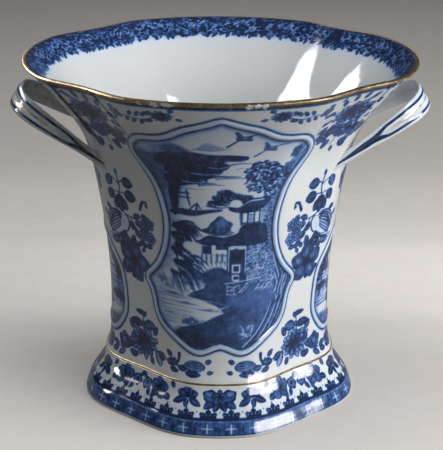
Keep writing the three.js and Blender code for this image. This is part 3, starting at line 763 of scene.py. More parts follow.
    # upper storey: roof with turned-up eaves, windows under it
    p.poly(g([(8.2, 121.6), (8.2, 130.5), (18.4, 130.5), (18.4, 121.6)]), .50)
    p.poly(g([(9.6, 123.4), (9.6, 129.2), (18.2, 129.6), (18.2, 123.6)]), .06)
    p.poly(g([(3.0, 132.6), (4.2, 130.6), (7, 129.5), (11, 129.0), (15, 129.6), (18.4, 131.4), (21, 134.4), (22, 137.6), (20.6, 137.6), (18.8, 136.4), (15, 136.0),
              (12, 135.6), (9.6, 133.6), (7.4, 132.4), (5.2, 132.8)]), .74, smooth=4)
    p.stroke(g([(9.8, 135.0), (13, 137.2), (17.4, 137.6), (21.6, 138.4)]), 1.1, .6, .80)
    p.stroke(g([(9.6, 133.9), (13.4, 136.2), (18.6, 136.6)]), .35, .3, .24)
    for k in range(6):
        p.stroke(g([(9.4 + k * 1.8, 134.6), (8.2 + k * 2.1, 130.4)]), .25, .25, .52, mode="over")
    for a in (9.4, 12.0, 14.9, 17.4):
        p.stroke(g([(a, 122.6), (a, 129.4)]), .7, .7, .76)
    for z in (127.9, 125.2):
        p.stroke(g([(11.8, z), (15.2, z)]), .45, .45, .7)
    p.poly(g([(12.6, 123.8), (12.6, 127.6), (14.2, 127.6), (14.2, 123.8)]), .34)
    p.stroke(g([(18.2, 124), (19.6, 127.6), (20.4, 131.6)]), .5, .4, .12)
    # side hall: rounded roof that looks like a hill
    p.poly(g([(-9.4, 118.6), (-7, 120.0), (-5.4, 120.6), (-4.4, 123.6), (-2.6, 125.0), (-1.2, 127.6), (1.2, 127.0), (2.4, 124.8), (4.4, 124.2), (6.4, 121.4), (7.6, 118.8), (6, 116.6), (0, 115.6), (-6, 116.8)]), .60, hatch=.5, smooth=3)
    p.ellipse(.4 * K, 123.2, 3.4, 2.4, 0, .46, "over", soft=1.2, wob=.1, k=5)
    for k in range(9):
        a = -6 + k * 1.45
        p.stroke(g([(a, 118), (a + .7, 121.6)]), .35, .25, .30 if k % 2 else .72)
    p.poly(g([(4.6, 118.4), (5.6, 122.8), (7.4, 125.8), (8.4, 125.6), (8.6, 119.6), (7.2, 117.6)]), .08, smooth=3)
    p.stroke(g([(3.4, 117.2), (6.2, 117.0), (8.2, 119.4)]), .5, .4, .10)
    # broad lower roof
    p.poly(g([(-12, 112.6), (-9.6, 112.6), (-7.6, 114.6), (-4.4, 116.0), (1, 114.8), (4.6, 116.0), (8, 117.2), (9.0, 121.0), (13, 122.2), (18, 122.4), (20.6, 122.0), (21.6, 117), (22, 111.6),
              (15, 109.6), (5, 108.8), (-4, 109.2), (-8.6, 110.0), (-11, 111)]), .74, hatch=.25, smooth=4)
    p.poly(g([(-8, 112.6), (-5, 114.4), (0, 113.6), (3, 111.6), (-3, 110.8)]), .62, soft=1, hatch=.6)
    for k in range(9):
        a0 = 9.4 + k * 1.3
        p.stroke(g([(a0, 121.6), (a0 - 1.2 + k * .28, 111.4)]), .25, .25, .56, mode="over")
    p.stroke(g([(-11.6, 112), (-3, 109.4), (6, 108.8), (15, 109.6), (22, 111.4)]), .9, .7, .82)
    p.stroke(g([(-4, 115.6), (1, 114.6), (5, 115.8), (8.4, 117.4)]), .4, .3, .30)
    # the hall below it
    p.poly(g([(-9.4, 98.5), (-9.4, 109.4), (3.0, 109.0), (3.0, 98.5)]), .16)
    p.poly(g([(-9.4, 104.6), (-9.4, 109.4), (-4.2, 109.2), (-4.2, 104.2)]), .66, hatch=.4)
    p.poly(g([(-2.2, 107.2), (-2.2, 109.2), (3.2, 109.0), (3.2, 107.2)]), .62)
    p.poly(g([(-4.0, 104.8), (-4.0, 110), (-2.2, 110), (-2.2, 107), (2.8, 107), (2.8, 104.8)]), .05)
    for a in (-8.8, -6.6, -4.4, -1.6, .8):
        p.stroke(g([(a, 99.6), (a, 104.6)]), .75, .75, .64)
    for a in (-7.7, -5.5, -3.1, -.4, 2.0):
        p.stroke(g([(a, 99), (a, 104.2)]), .6, .5, .08)
    p.stroke(g([(-9.2, 104.4), (-4.2, 104.2)]), .5, .5, .18)
    p.stroke(g([(-2, 103.6), (3.0, 103.6)]), .5, .5, .52)
    for k in range(6):
        p.stroke(g([(-8.6 + k * 2.1, 99.8), (-8.0 + k * 2.1, 97.2)]), .7, .3, .6, "dark")
    # tower
    p.poly(g([(3.0, 86.6), (3.0, 109.0), (12.8, 109.0), (12.8, 86.6)]), .66)
    p.poly(g([(4.0, 107.4), (4.0, 109.2), (12.0, 109.2), (12.0, 107.4), (9.4, 106.6), (7.4, 108.0), (5.6, 106.8)]), .14, smooth=3)
    p.stroke(g([(4.0, 107.6), (3.8, 100), (3.9, 94)]), .75, .6, .12)
    p.stroke(g([(11.8, 107.6), (12, 100), (11.9, 93)]), .75, .6, .12)
    p.poly(g([(4.8, 99.4), (4.8, 107.0), (11.0, 107.0), (11.0, 99.4)]), .72)
    for (xa, xb, za, zb) in ((5.4, 9.6, 92.8, 98.2), (5.4, 9.6, 87.9, 91.9)):
        p.poly(g([(xa, za), (xa, zb), (xb, zb), (xb, za)]), .08)
        p.poly(g([(xa + .9, za + 1.1), (xa + .9, zb - 1.1), (xb - .8, zb - 1.1), (xb - .8, za + 1.1)]), .72)
    p.stroke(g([(9.6, 88), (9.6, 91.8)]), 1.2, 1.2, .68)
    for k in range(4):
        p.stroke(g([(12.4, 105 - k * 3.4), (14.4, 106.4 - k * 3.4)]), .6, .3, .10)
    # willow and plants down the left
    for k, (a, z, ang, ln, n, t) in enumerate([(-21, 121, -18, 17, 9, .84), (-17, 119, 6, 11, 7, .74), (-22, 115, -30, 15, 8, .86), (-22.5, 106, -24, 19, 9, .82), (-16, 101, -20, 13, 8, .66),
                                               (-22, 99, -34, 15, 8, .80), (-17, 96, -28, 15, 8, .62), (-19, 92, -16, 15, 7, .60), (-14, 90, -10, 13, 6, .48), (-24, 92, -52, 12, 7, .62)]):
        fronds(p, a * K, z, ang, ln, n, 1.75, t, 600 + k)
        if k < 7:
            p.ellipse((a + 3) * K, z - 2.4, 5.0, 1.9, -20, t * .78, "dark", soft=1.5, wob=.15, k=5)
    clump(p, -15 * K, 118.6, 6.4, 2.4, 611, 26, .80, .8, .62)
    clump(p, -18 * K, 109, 4.6, 2.6, 612, 24, .82, .8, .62)
    for k, (a, z) in enumerate(((-18, 104), (-12.4, 98.6), (-21, 96))):
        fronds(p, a * K, z, -30, 9, 4, .8, .05, 640 + k)
        p.stroke(g([(a, z), (a + 4, z - 2.4), (a + 7.4, z - 6.6)]), .7, .3, .10)
    p.poly(g([(-17.4, 110.6), (-14, 111.6), (-9.4, 110.6), (-8.6, 107), (-9.4, 103.6), (-13, 104.4), (-17.6, 107.6)]), .05, soft=1.2, smooth=4)
    for k in range(24):
        a = -32 + k * .85
        z = 88 + rnd.uniform(-2, 3) - (a + 32) * .15
        p.stroke(g([(a, z - 4), (a - rnd.uniform(.4, 1.8), z + rnd.uniform(0, 6))]), .9, .3, rnd.uniform(.24, .55), "dark")
    # water at the left, with long light ripples
    for k in range(30):
        z = 60.5 + k * .95
        a = -38 + rnd.uniform(0, 8)
        b = min(-4 + rnd.uniform(-10, 2), -4 - max(0, z - 72) * 1.1)
        if b - a > 5:
            p.stroke(g([(a, z), ((a + b) / 2, z + rnd.uniform(-.8, .8)), (b, z - rnd.uniform(0, 1.2))]), .9, .3, rnd.uniform(.12, .34), "dark")
    for (za, a, b, t) in ((78.4, -32, -17, .50), (73.6, -24, -10, .44), (70.2, -12, 2, .46), (66.4, -30, -22, .36), (86, -22, -10, .5), (82.4, -31, -22, .4)):
        p.poly(g([(a, za), ((a + b) / 2, za + 1.3), (b, za - .8), ((a + b) / 2 - 1, za - .6)]), t, "dark", soft=.7, hatch=.4)
    p.poly(g([(-38, 62), (-33, 66), (-29, 62), (-31, 58)]), .34, "dark", soft=1.4)
    # near land in two tongues, a flat even wash
    upper = g([(-17.4, 78.6), (-13, 81.4), (-8, 83.2), (-5.4, 85.6), (-9.6, 88.4), (-9, 91.6), (-5, 95.2), (0, 96.6), (4, 95), (6, 86.2), (14, 86), (28, 86.5), (44, 84), (44, 40), (6, 40),
               (3, 66), (1.6, 70), (-4, 74.4), (-10, 77)])
    p.poly(upper, .56, hatch=.16, smooth=3)
    p.poly(g([(3, 85), (30, 86), (32, 66), (14, 68), (4, 72)]), .49, soft=7, hatch=.14)
    p.poly(g([(-9.6, 90.6), (-5, 95.4), (1, 96.4), (3.0, 91), (-3, 88)]), .60, soft=1.6, hatch=.3, smooth=3)
    p.poly(g([(-17.4, 78.6), (-12, 79.4), (-4, 77.6), (1, 73.6), (-5, 74.4), (-10, 76.8)]), .66, "dark", soft=1.2, hatch=.3, smooth=3)
    p.stroke(g([(-3, 70.6), (3, 72.4), (5.6, 73.4)]), 1.0, .3, .16)
    p.stroke(g([(-8, 76.2), (-2, 75.2), (4, 73)]), .6, .3, .22)
    lower = g([(-24, 57.0), (-17, 59.8), (-10, 62.4), (-5, 64.6), (1, 68.4), (8, 71), (18, 70), (30, 66), (44, 62), (44, 36), (-24, 36)])
    p.poly(lower, .62, hatch=.14, smooth=3)
    p.poly(g([(2, 71), (18, 73), (34, 68), (34, 48), (22, 46), (10, 50), (4, 58)]), .54, soft=8, hatch=.14)
    p.poly(g([(-24, 57.0), (-14, 59), (-6, 57), (2, 52), (6, 46), (6, 36), (-24, 36)]), .74, "dark", soft=5, hatch=.14, smooth=3)
    p.poly(g([(-6, 64.6), (1, 68.4), (8, 71.4), (9, 68), (2, 65.4)]), .62, "dark", soft=1.2, smooth=3)
    # fence and steps
    p.poly(g([(2.2, 79.6), (2.2, 86.6), (12, 87), (12, 80)]), .58)
    for (x0, z0, x1, z1, w) in ((2.4, 86.6, 20, 89.4, .7), (3.2, 84.6, 8.2, 84.8, .55), (3.0, 82.2, 6.4, 82.4, .55), (3.0, 80.0, 8.2, 80.0, .55), (5.0, 82.6, 8.6, 85.6, .5),
                                (9.0, 81.0, 13.6, 86.6, .75), (10.2, 80.6, 14.2, 85.4, .45), (3.4, 80, 3.4, 86, .45), (6.8, 80, 6.8, 83.6, .45), (9.4, 83.2, 9.4, 86, .4)):
        p.stroke(g([(x0, z0), (x1, z1)]), w, w * .8, .10)
    for k in range(22):
        a, z = 17.4 + rnd.uniform(0, 9), 82.2 + rnd.uniform(0, 5)
        p.stroke(g([(a, z), (a + rnd.uniform(.8, 1.8), z + rnd.uniform(.2, 1.8))]), .55, .3, .10 if k % 3 else .66)
    for k in range(14):
        a = 17 + k * .85
        p.stroke(g([(a, 81.6 + (k % 2) * .8), (a + .8, 83.6 + (k % 3))]), .45, .3, .12)
    # rocks in the water and reeds
    for (a, z, r) in ((-16.6, 63.2, 2.2), (-14.2, 64.6, 1.6), (-12.0, 63.4, 1.7), (-18.6, 62.6, 1.4)):
        p.ellipse(a * K, z, r, r * .75, 0, .50, "dark", wob=.14, k=5, ph=a)
    for k in range(9):
        a = -19 + k * .9
        p.stroke(g([(a, 61), (a + rnd.uniform(-.8, .8), 66 + rnd.uniform(-1, 1.2))]), .5, .25, .5, "dark")
    p.stroke(g([(-15.4, 61.4), (-8, 64.2)]), .6, .4, .62, "dark")
    # light leaves in the grass
    for k in range(20):
        a, z = 9.6 + rnd.uniform(0, 7.6), 53.6 + rnd.uniform(0, 7)
        p.ellipse(a * K, z, rnd.uniform(.7, 1.5), rnd.uniform(.3, .55), rnd.uniform(0, 180), .16 if k % 3 else .3)
    # curling reeds and rocks beside the frame
    p.poly(g([(27.5, 99), (33, 99), (40, 92), (44, 84), (40, 70), (36, 58), (28, 50), (16, 45), (13, 48), (20, 56), (26, 66), (28, 76), (27.4, 88)]), .54, "dark", hatch=.5, soft=2)
    lines = [[(26.6, 102), (28.4, 95), (30.8, 88), (29.4, 80), (30.2, 73)], [(33.6, 101), (31.2, 94), (33.4, 88), (31.4, 80), (30.4, 74)], [(38.4, 93), (35.0, 87), (33.2, 80), (34.4, 72)],
             [(36.2, 97), (34.2, 91), (36.6, 86), (34.4, 78)], [(11.6, 48.4), (18.4, 55.4), (23.6, 64), (27.2, 73)], [(15.6, 48), (22.4, 56), (27.6, 65), (31.2, 75.5)],
             [(19.6, 49), (26, 57), (31, 66), (34.4, 77)], [(23.6, 50.6), (29.4, 58.6), (33.4, 67), (36.6, 78)], [(27.6, 53), (32.4, 60.6), (35.6, 70), (38.6, 82)],
             [(28.2, 90), (30, 84), (28.6, 78)], [(40.4, 88), (37.6, 82), (37, 74), (35.6, 66)]]
    for k, q in enumerate(lines):
        p.stroke(g([(a + .9, z - .4) for a, z in q]), .95, .6, .68)
        p.stroke(g(q), .75 if k % 2 else .95, .4, .10)
    for k in range(34):
        z = 50 + k * 1.45
        a = np.interp(z, [50, 60, 75, 90, 100], [17, 25, 31, 31, 30]) + rnd.uniform(0, 8)
        p.stroke(g([(a, z), (a + 1.5, z + 3.2), (a + 2.2, z + 6.4)]), .45, .25, rnd.choice([.12, .22, .7]))


def side_view(cv, cx):
    """own view for the small side panels: an islet across the water"""
    p = Place(cv, 0, 0, 0, 1.0, 1)
    p.A, p.B, p.X, p.Y, p.soft = np.eye(2), np.eye(2), cx, 0.0, 1.1 / cv.ppm
    rnd = np.random.RandomState(8)
    p.poly([(-40, 108), (40, 108), (40, 86), (26, 84), (14, 92), (0, 95), (-14, 92), (-26, 84), (-40, 86)], .5, "dark", soft=3, hatch=.9)
    for k, (x, z, rx, ry) in enumerate([(-27, 88, 7, 5), (-19, 93, 7, 4), (-31, 80, 5, 5), (27, 89, 7, 5), (19, 94, 7, 4), (31, 81, 5, 5), (-24, 83, 6, 3)]):
        clump(p, x, z, rx, ry, 700 + k, int(5.5 * rx), .92, .85, .66)
    p.stroke([(-29, 66), (-27, 76), (-29, 84)], 1.8, .9, .93)
    p.stroke([(29, 62), (27, 74), (28, 84)], 1.8, .9, .93)
    for k in range(40):
        z = 48 + k * 1.0
        if 58 < z < 84:
            a = -36 + rnd.uniform(0, 6)
            p.stroke([(a, z), (a + 9, z + rnd.uniform(-.4, .4)), (a + rnd.uniform(14, 24), z)], .75, .3, rnd.uniform(.4, .82), "dark")
            a = 36 - rnd.uniform(0, 6)
            p.stroke([(a, z), (a - 9, z + rnd.uniform(-.4, .4)), (a - rnd.uniform(14, 24), z)], .75, .3, rnd.uniform(.4, .82), "dark")
    p.poly([(-37, 72), (-24, 74), (-15, 70.6), (-24, 69), (-37, 68.6)], .84, "dark", soft=1.0, hatch=.8)
    p.poly([(37, 66), (24, 68.6), (15, 65), (24, 63), (37, 62)], .84, "dark", soft=1.0, hatch=.8)
    # islet with a pavilion
    p.poly([(-18, 60), (-12, 65), (-4, 67.6), (6, 67), (14, 63.6), (19, 59.4), (10, 56), (-8, 56)], .82, hatch=.9, smooth=4)
    p.poly([(-10, 76.4), (-6.6, 77.4), (-3, 81.2), (3, 81.2), (6.6, 77.4), (10, 76.4), (6, 74.8), (-6, 74.8)], .94, smooth=4)
    p.poly([(-6, 66.6), (-6, 75), (6, 75), (6, 66.6)], .10)
    for x in (-5.4, -2, 2, 5.4):
        p.stroke([(x, 66.6), (x, 75)], .7, .7, .9)
    p.stroke([(-6, 70.4), (6, 70.4)], .5, .5, .8)
    p.poly([(-5.4, 83), (0, 87.6), (5.4, 83), (3, 81.8), (-3, 81.8)], .94, smooth=3)
    clump(p, 12, 72, 5, 4, 720, 30, .92, .8, .6)
    clump(p, -13, 69, 4.4, 3, 721, 26, .92, .8, .55)
    p.stroke([(12, 62), (12.6, 67), (12, 71)], 1.1, .7, .93)
    p.poly([(-40, 52), (-22, 54), (-6, 50), (8, 51.6), (24, 53), (40, 50), (40, 38), (-40, 38)], .46, "dark", soft=1.6, hatch=.8, smooth=3)
    p.poly([(-40, 47), (-16, 48), (-2, 46.6), (14, 48), (40, 46), (40, 38), (-40, 38)], .72, "dark", soft=1.6, hatch=.8)
    for k in range(26):
        x = -32 + k * 2.5
        p.stroke([(x, 49.4 + rnd.uniform(-1, 1)), (x + rnd.uniform(-1.4, 1.4), 54.4 + rnd.uniform(-1, 1.4))], .6, .3, .84, "dark")
    for x, z in ((-20, 79.5), (16, 82)):
        p.stroke([(x - 2.4, z - 1), (x, z), (x + 2.6, z - .4)], .7, .4, .8)


def paint_wall():
    cv = Canvas(-108, 108, 26, 200.5, 6)
    for m in (1, -1):
        corner_spray(Side(cv, m, 0 if m > 0 else 5))
        side_spray(Side(cv, m, 0))
        side_centre(cv, 90 * m)
    loops = [(FRONT_LOOP, 0.0, landscape), (SIDE_LOOP, 108.0, None), (SIDE_LOOP, -108.0, None)]
    relief = np.full((cv.h, cv.w), 99.0, np.float32)
    for loop, cx, view in loops:
        d = inside_mask(cv, loop, cx)
        clear = np.clip(.5 - (d - .5) * 2, 0, 1)
        cv.ink *= 1 - clear
        cv.hat *= 1 - clear
        cv.clip = np.clip(.5 - (d + 3.6) * 3, 0, 1).astype(np.float32)
        if view:
            view(cv)
            deep = np.clip((cv.ink - .36) / .24, 0, 1)
            cv.ink += .13 * deep * deep * (3 - 2 * deep) * np.clip((.98 - cv.ink) / .25, 0, 1) * cv.clip
        else:
            side_view(cv, cx)
        cv.clip = None
        frame_lines(cv, d)
        relief = np.minimum(relief, np.abs(d + 2.0))
        # the wash gathers against the inside of the frame
        rim = np.clip(1 + (d + 4.4) / 7.0, 0, 1) * (d < -4.2)
        cv.ink += rim.astype(np.float32) * .12 * (1 - cv.ink)
    # thin line under the gilding
    Y = cv.y0 + (np.arange(cv.h) + .5) / cv.ppm
    lip = np.clip((Y - 194.9) / .5, 0, 1) * (.74 + .22 * np.clip((Y - 195.4) / 2.4, 0, 1))
    cv.ink[:] = np.maximum(cv.ink, lip[:, None])
    cv.hat[:] = np.maximum(cv.hat, (np.clip((Y - 194.9) / .5, 0, 1) * .5)[:, None])
    cv.ink = soften(cv.ink, 1.0)
    cv.relief = relief
    return cv


def paint_foot():
    """one quarter of the foot; the pattern repeats four times"""
    cv = Canvas(-54, 54, 0, 27, 9, curved=False)
    base = Place(cv, 0, 0, 0, 1.0, 1)
    Y = cv.y0 + (np.arange(cv.h) + .5) / cv.ppm
    band = np.clip(np.minimum(Y - 1.4, 9.4 - Y) / .25, 0, 1)
    cv.ink[:] = np.maximum(cv.ink, (band * .67)[:, None])
    cv.hat[:] = (band * .9)[:, None]
    for z, half, t in ((1.9, .32, .86), (9.9, .55, .97)):
        cv.ink[:] = np.maximum(cv.ink, (np.clip((half + .2 - np.abs(Y - z)) / .2, 0, 1) * t)[:, None])
    light = np.clip((.42 - np.abs(Y - 8.75)) / .25, 0, 1)[:, None] * .26
    cv.ink -= light
    for k in range(-6, 7):
        x = (4.8 + 10 * k) * K
        base.stroke([(x, 2.9), (x, 7.5)], .95, .70, .16)
        base.stroke([(x - 1.7, 5.1), (x + 1.7, 5.1)], .80, .80, .22)
        base.ellipse(x, 5.1, .62, .70, 0, .10)
        for dx in (-2.5, 2.5):
            base.ellipse(x + dx, 5.1, .5, .6, 0, .34)
        base.stroke([(x + 6, 3.4), (x + 6, 7.0)], .9, .5, .86)
        base.ellipse(x + 6, 5.1, .9, .8, 0, .84)
        # a row of fleurons standing on the line
        x = (5 + 10 * k) * K
        base.ellipse(x, 10.5, 4.2, .95, 0, .96)
        for m in (1, -1):
            base.ellipse(x + m * 2.7, 11.6, 1.6, 1.3, m * -30, .94)
            base.stroke([(x + m * 2.2, 12.2), (x + m * 3.9, 12.9), (x + m * 4.5, 12.0)], .9, .5, .93)
            base.ellipse(x + m * 3.0, 11.9, .42, .34, m * -20, .30)
            base.stroke([(x + m * 1.2, 10.8), (x + m * 2.0, 11.6), (x + m * 1.5, 12.6)], .9, .5, .93)
        base.stroke([(x, 10.4), (x, 12.6), (x, 15.2)], 2.3, .6, .95)
        base.ellipse(x, 13.3, 1.5, 1.0, 0, .94)
        base.ellipse(x + 6.0, 13.3, .5, .45, 0, .5)
    # flowers above it: the largest on the middle of the lobe, others to each side

    def at(phi, z, mirror=1, size=1.0):
        return Place(cv, phi, z, 0, size, mirror)

    c = at(0, 20.4)
    c.leaf(-2.0, -.8, 214, 8.4, 4.0, .76)
    c.leaf(2.0, -.8, 326, 8.4, 4.0, .76)
    c.leaf(-.6, -1.0, 246, 6.6, 3.8, .84)
    c.leaf(.6, -1.0, 294, 6.6, 3.8, .84)
    for m in (1, -1):
        c.ellipse(m * 5.0, .6, 4.6, 3.3, m * 12, .93, wob=.07, k=5)
        c.ellipse(m * 5.0, .6, 3.8, 2.5, m * 12, .60, hatch=.7)
        c.ellipse(m * 5.8, 1.2, 1.8, 1.0, m * 14, .40, soft=.9)
        c.stroke([(m * 2.0, .2), (m * 5.2, .0), (m * 7.6, .8)], .45, .3, .9)
    c.petals(5, .3, 3.7, 3.4, .64, .94, 90, .86)
    c.ellipse(0, .2, 1.5, 1.2, 0, .97)
    for m in (1, -1):
        q = at(m * 15.4, 20.6, m)
        for ang, ln, w, t in ((168, 6.6, 4.4, .70), (120, 4.8, 4.6, .58), (66, 4.8, 4.6, .66), (14, 6.6, 4.4, .72)):
            q.leaf(0, .1, ang, ln, w, t, edge=.95)
        q.ellipse(0, .2, 1.7, 1.4, 0, .97)
        q.leaf(-1.0, -1.2, 206, 8.0, 3.2, .82)
        q.leaf(1.0, -1.2, -22, 8.0, 3.2, .82)
        q.leaf(.2, -1.4, -84, 4.6, 2.8, .82)
        at(m * 22.8, 22.8, m).bud(0, 0, 60, 4.6, 3.0, .80)
        at(m * 24.4, 17.6, m).leaf(0, 0, 8, 5.0, 2.4, .80)
        q = at(m * 32.4, 20.6, m)
        q.petals(5, .7, 5.8, 6.0, .58, .94, 90, .68)
        for i in range(5):
            b = math.radians(90 + 36 + 72 * i)
            q.stroke([(1.4 * math.cos(b), 1.0 * math.sin(b)), (4.4 * math.cos(b), 3.1 * math.sin(b))], .6, .4, .95)
        q.ellipse(0, 0, 1.5, 1.2, 0, .96)
        q.leaf(-4.4, -2.2, 200, 5.4, 2.8, .80)
        q.leaf(2.4, -2.8, -52, 4.4, 2.6, .80)
        q = at(m * 41.4, 20.2, m)
        q.ellipse(0, 0, 3.8, 3.0, -20, .92, wob=.08, k=5)
        q.ellipse(0, 0, 3.0, 2.2, -20, .52, hatch=.6)
        q.ellipse(-.2, .1, 1.3, 1.0, 0, .92)
        q.leaf(-1.6, -2.2, 228, 4.6, 2.6, .80)
        q.leaf(1.8, 2.0, 50, 4.2, 2.4, .78)
    cv.ink = soften(np.clip(cv.ink, 0, 1), 1.0)
    return cv


def paint_lip():
    """border inside the lip, one quarter: drawing height 0 at its ragged lower edge, 18 under the gilding"""
    cv = Canvas(-54, 54, -2, 18, 9, curved=False)
    base = Place(cv, 0, 0, 0, 1.0, 1)
    rnd = np.random.RandomState(77)
    X = cv.x0 + (np.arange(cv.w) + .5) / cv.ppm
    Y = cv.y0 + (np.arange(cv.h) + .5) / cv.ppm
    edge = 1.5 + .6 * np.sin(X * math.pi / 3.0) + .45 * np.sin(X * math.pi / 1.35 + 1)
    cv.ink[:] = np.clip((Y[:, None] - edge[None, :]) / .9, 0, 1) * .94
    cv.hat[:] = cv.ink * .8
    for k in range(62):
        x = -54 + k * 1.77 + rnd.uniform(-.6, .6)
        base.leaf(x, 2.6, -90 + rnd.uniform(-50, 50), rnd.uniform(2.4, 4.6), rnd.uniform(1.0, 1.7), rnd.choice([.72, .84, .9]))
    # dark and pale mottling all over the ground
    for k in range(300):
        x, y = rnd.uniform(-54, 54), rnd.uniform(2.5, 17.5)
        base.ellipse(x, y, rnd.uniform(.7, 1.9), rnd.uniform(.5, 1.2), rnd.uniform(0, 180), rnd.choice([.93, .96, .9, .55]), wob=.2, k=5, ph=k)
    for k in range(-5, 6):
        x = k * 9.0
        z = 6.6 + 2.8 * (k % 2)
        base.ellipse(x, z, 3.6, 3.0, 0, .92, wob=.1, k=7, ph=k)
        for q in range(7):
            a = q * 2 * math.pi / 7
            base.ellipse(x + 2.3 * math.cos(a), z + 1.9 * math.sin(a), 1.0, .72, math.degrees(a), .34)
        base.ellipse(x, z, .9, .8, 0, .85)
        for sgn in (1, -1):
            base.stroke([(x + sgn * 2.8, z - .6), (x + sgn * 4.4, z - 2.8), (x + sgn * 5.4, z - .8), (x + sgn * 4.2, z + .7)], .75, .45, .30)
            base.stroke([(x + sgn * 2.4, z + 1.8), (x + sgn * 4.4, z + 4.2), (x + sgn * 5.9, z + 3.0)], .7, .4, .32)
    for k in range(330):
        x, z = rnd.uniform(-54, 54), 2.2 + 14.5 * rnd.uniform(0, 1) ** 1.5
        a = rnd.uniform(0, 6.28)
        t = rnd.choice([.24, .42, .52, .62]) + .014 * z
        base.stroke([(x, z), (x + 1.3 * math.cos(a), z + 1.2 * math.sin(a)), (x + 2.1 * math.cos(a + .7), z + 1.9 * math.sin(a + .7))], .75, .3, t)
    for k in range(240):
        x, z = rnd.uniform(-54, 54), rnd.uniform(2.0, 17.4)
        base.ellipse(x, z, rnd.uniform(.6, 1.3), rnd.uniform(.4, .9), rnd.uniform(0, 180), .97, "dark")
    cv.ink = soften(np.clip(cv.ink, 0, 1), 1.15)
    cv.ink = np.maximum(cv.ink, .5 * soften(cv.ink, 15) - .03)
    cv.ink = np.clip(cv.ink * 1.09, 0, 1)
    return cv


# ------------------------------------------------------------------ mesh making
def ring_xy(phi, r):
    a = np.radians(phi)
    return r * np.sin(a), -r * np.cos(a)


def mesh_object(name, co_mm, quads, tris=(), attrs=None, uv=None, smooth=True):
    """co_mm: vertices in millimetres; attrs: name -> one value per vertex; uv: one pair per corner"""
    quads = np.asarray(quads, np.int32).reshape(-1, 4)
    tris = np.asarray(tris, np.int32).reshape(-1, 3)
    me = bpy.data.meshes.new(name)
    me.vertices.add(len(co_mm))
    me.vertices.foreach_set("co", (np.asarray(co_mm, float) * MM).astype(np.float32).ravel())
    loops = np.concatenate([quads.ravel(), tris.ravel()]).astype(np.int32)
    me.loops.add(len(loops))
    me.loops.foreach_set("vertex_index", loops)
    me.polygons.add(len(quads) + len(tris))
    starts = np.concatenate([np.arange(len(quads)) * 4, len(quads) * 4 + np.arange(len(tris)) * 3]).astype(np.int32)
    me.polygons.foreach_set("loop_start", starts)
    me.update(calc_edges=True)
    if smooth:
        me.polygons.foreach_set("use_smooth", np.ones(len(me.polygons), bool))
    for key, val in (attrs or {}).items():
        at = me.attributes.new(key, "FLOAT", "POINT")
        at.data.foreach_set("value", np.asarray(val, np.float32).ravel())
    if uv is not None:
        layer = me.uv_layers.new(name="OFBake")
        layer.data.foreach_set("uv", np.asarray(uv, np.float32).ravel())
    me.update()
    ob = bpy.data.objects.new(name, me)
    bpy.context.scene.collection.objects.link(ob)
    return ob


def turned(name, rows, cols, closed_ring=False, centre_first=False, centre_last=False, attrs=None, vmap=None):
    """rows: (m, n, 3) rings of points; n points round, closed on itself"""
    m, n = rows.shape[:2]
    idx = np.arange(m * n).reshape(m, n)
    nxt = np.roll(idx, -1, 1)
    pairs = [(i, i + 1) for i in range(m - 1)] + ([(m - 1, 0)] if closed_ring else [])
    a = np.array([p[0] for p in pairs])
    b = np.array([p[1] for p in pairs])
    quads = np.stack([idx[a], nxt[a], nxt[b], idx[b]], -1).reshape(-1, 4)
    co = rows.reshape(-1, 3)
    tris = []
    extra = []
    if centre_first:
        extra.append(rows[0].mean(0))
        tris.append(np.stack([nxt[0], idx[0], np.full(n, m * n + len(extra) - 1)], -1))
    if centre_last:
        extra.append(rows[-1].mean(0))
        tris.append(np.stack([idx[-1], nxt[-1], np.full(n, m * n + len(extra) - 1)], -1))
    if extra:
        co = np.vstack([co, extra])
    uv = None
    if vmap is not None:
        v = np.asarray(vmap, float)
        u = np.arange(n + 1) / n
        ua, ub = np.tile(u[:-1], len(pairs)), np.tile(u[1:], len(pairs))
        va_ = np.repeat(v[a], n)
        vb = np.repeat(np.append(v, v[0] if closed_ring else v[-1])[b], n)
        q = np.stack([np.stack([ua, va_], -1), np.stack([ub, va_], -1), np.stack([ub, vb], -1), np.stack([ua, vb], -1)], 1).reshape(-1, 2)
        parts = [q]
        k = 0
        for which, row in ((centre_first, 0), (centre_last, -1)):
            if which:
                vr = v[row]
                vc = vr + (-.01 if row == 0 else .01)
                if row == 0:
                    t = np.stack([np.stack([u[1:], np.full(n, vr)], -1), np.stack([u[:-1], np.full(n, vr)], -1), np.stack([(u[1:] + u[:-1]) / 2, np.full(n, vc)], -1)], 1)
                else:
                    t = np.stack([np.stack([u[:-1], np.full(n, vr)], -1), np.stack([u[1:], np.full(n, vr)], -1), np.stack([(u[1:] + u[:-1]) / 2, np.full(n, vc)], -1)], 1)
                parts.append(t.reshape(-1, 2))
                k += 1
        uv = np.vstack(parts)
    full = {}
    for key, val in (attrs or {}).items():
        val = np.asarray(val, float).reshape(m, n)
        full[key] = np.concatenate([val.ravel()] + ([[val[0].mean()]] if centre_first else []) + ([[val[-1].mean()]] if centre_last else []))
    return mesh_object(name, co, quads, np.vstack(tris) if tris else (), full, uv)


def grid_normals(P):
    du = np.roll(P, -1, 1) - np.roll(P, 1, 1)
    dv = np.gradient(P, axis=0)
    n = np.cross(du, dv)
    return n / (np.linalg.norm(n, axis=2, keepdims=True) + 1e-12)


def noise1(seed, n, periods):
    """smooth periodic wobble made of a few waves"""
    rnd = np.random.RandomState(seed)
    t = np.arange(n) / n * 2 * math.pi
    out = np.zeros(n)
    for k in periods:
        out += rnd.uniform(.5, 1) * np.sin(k * t + rnd.uniform(0, 6.28)) / len(periods)
    return out


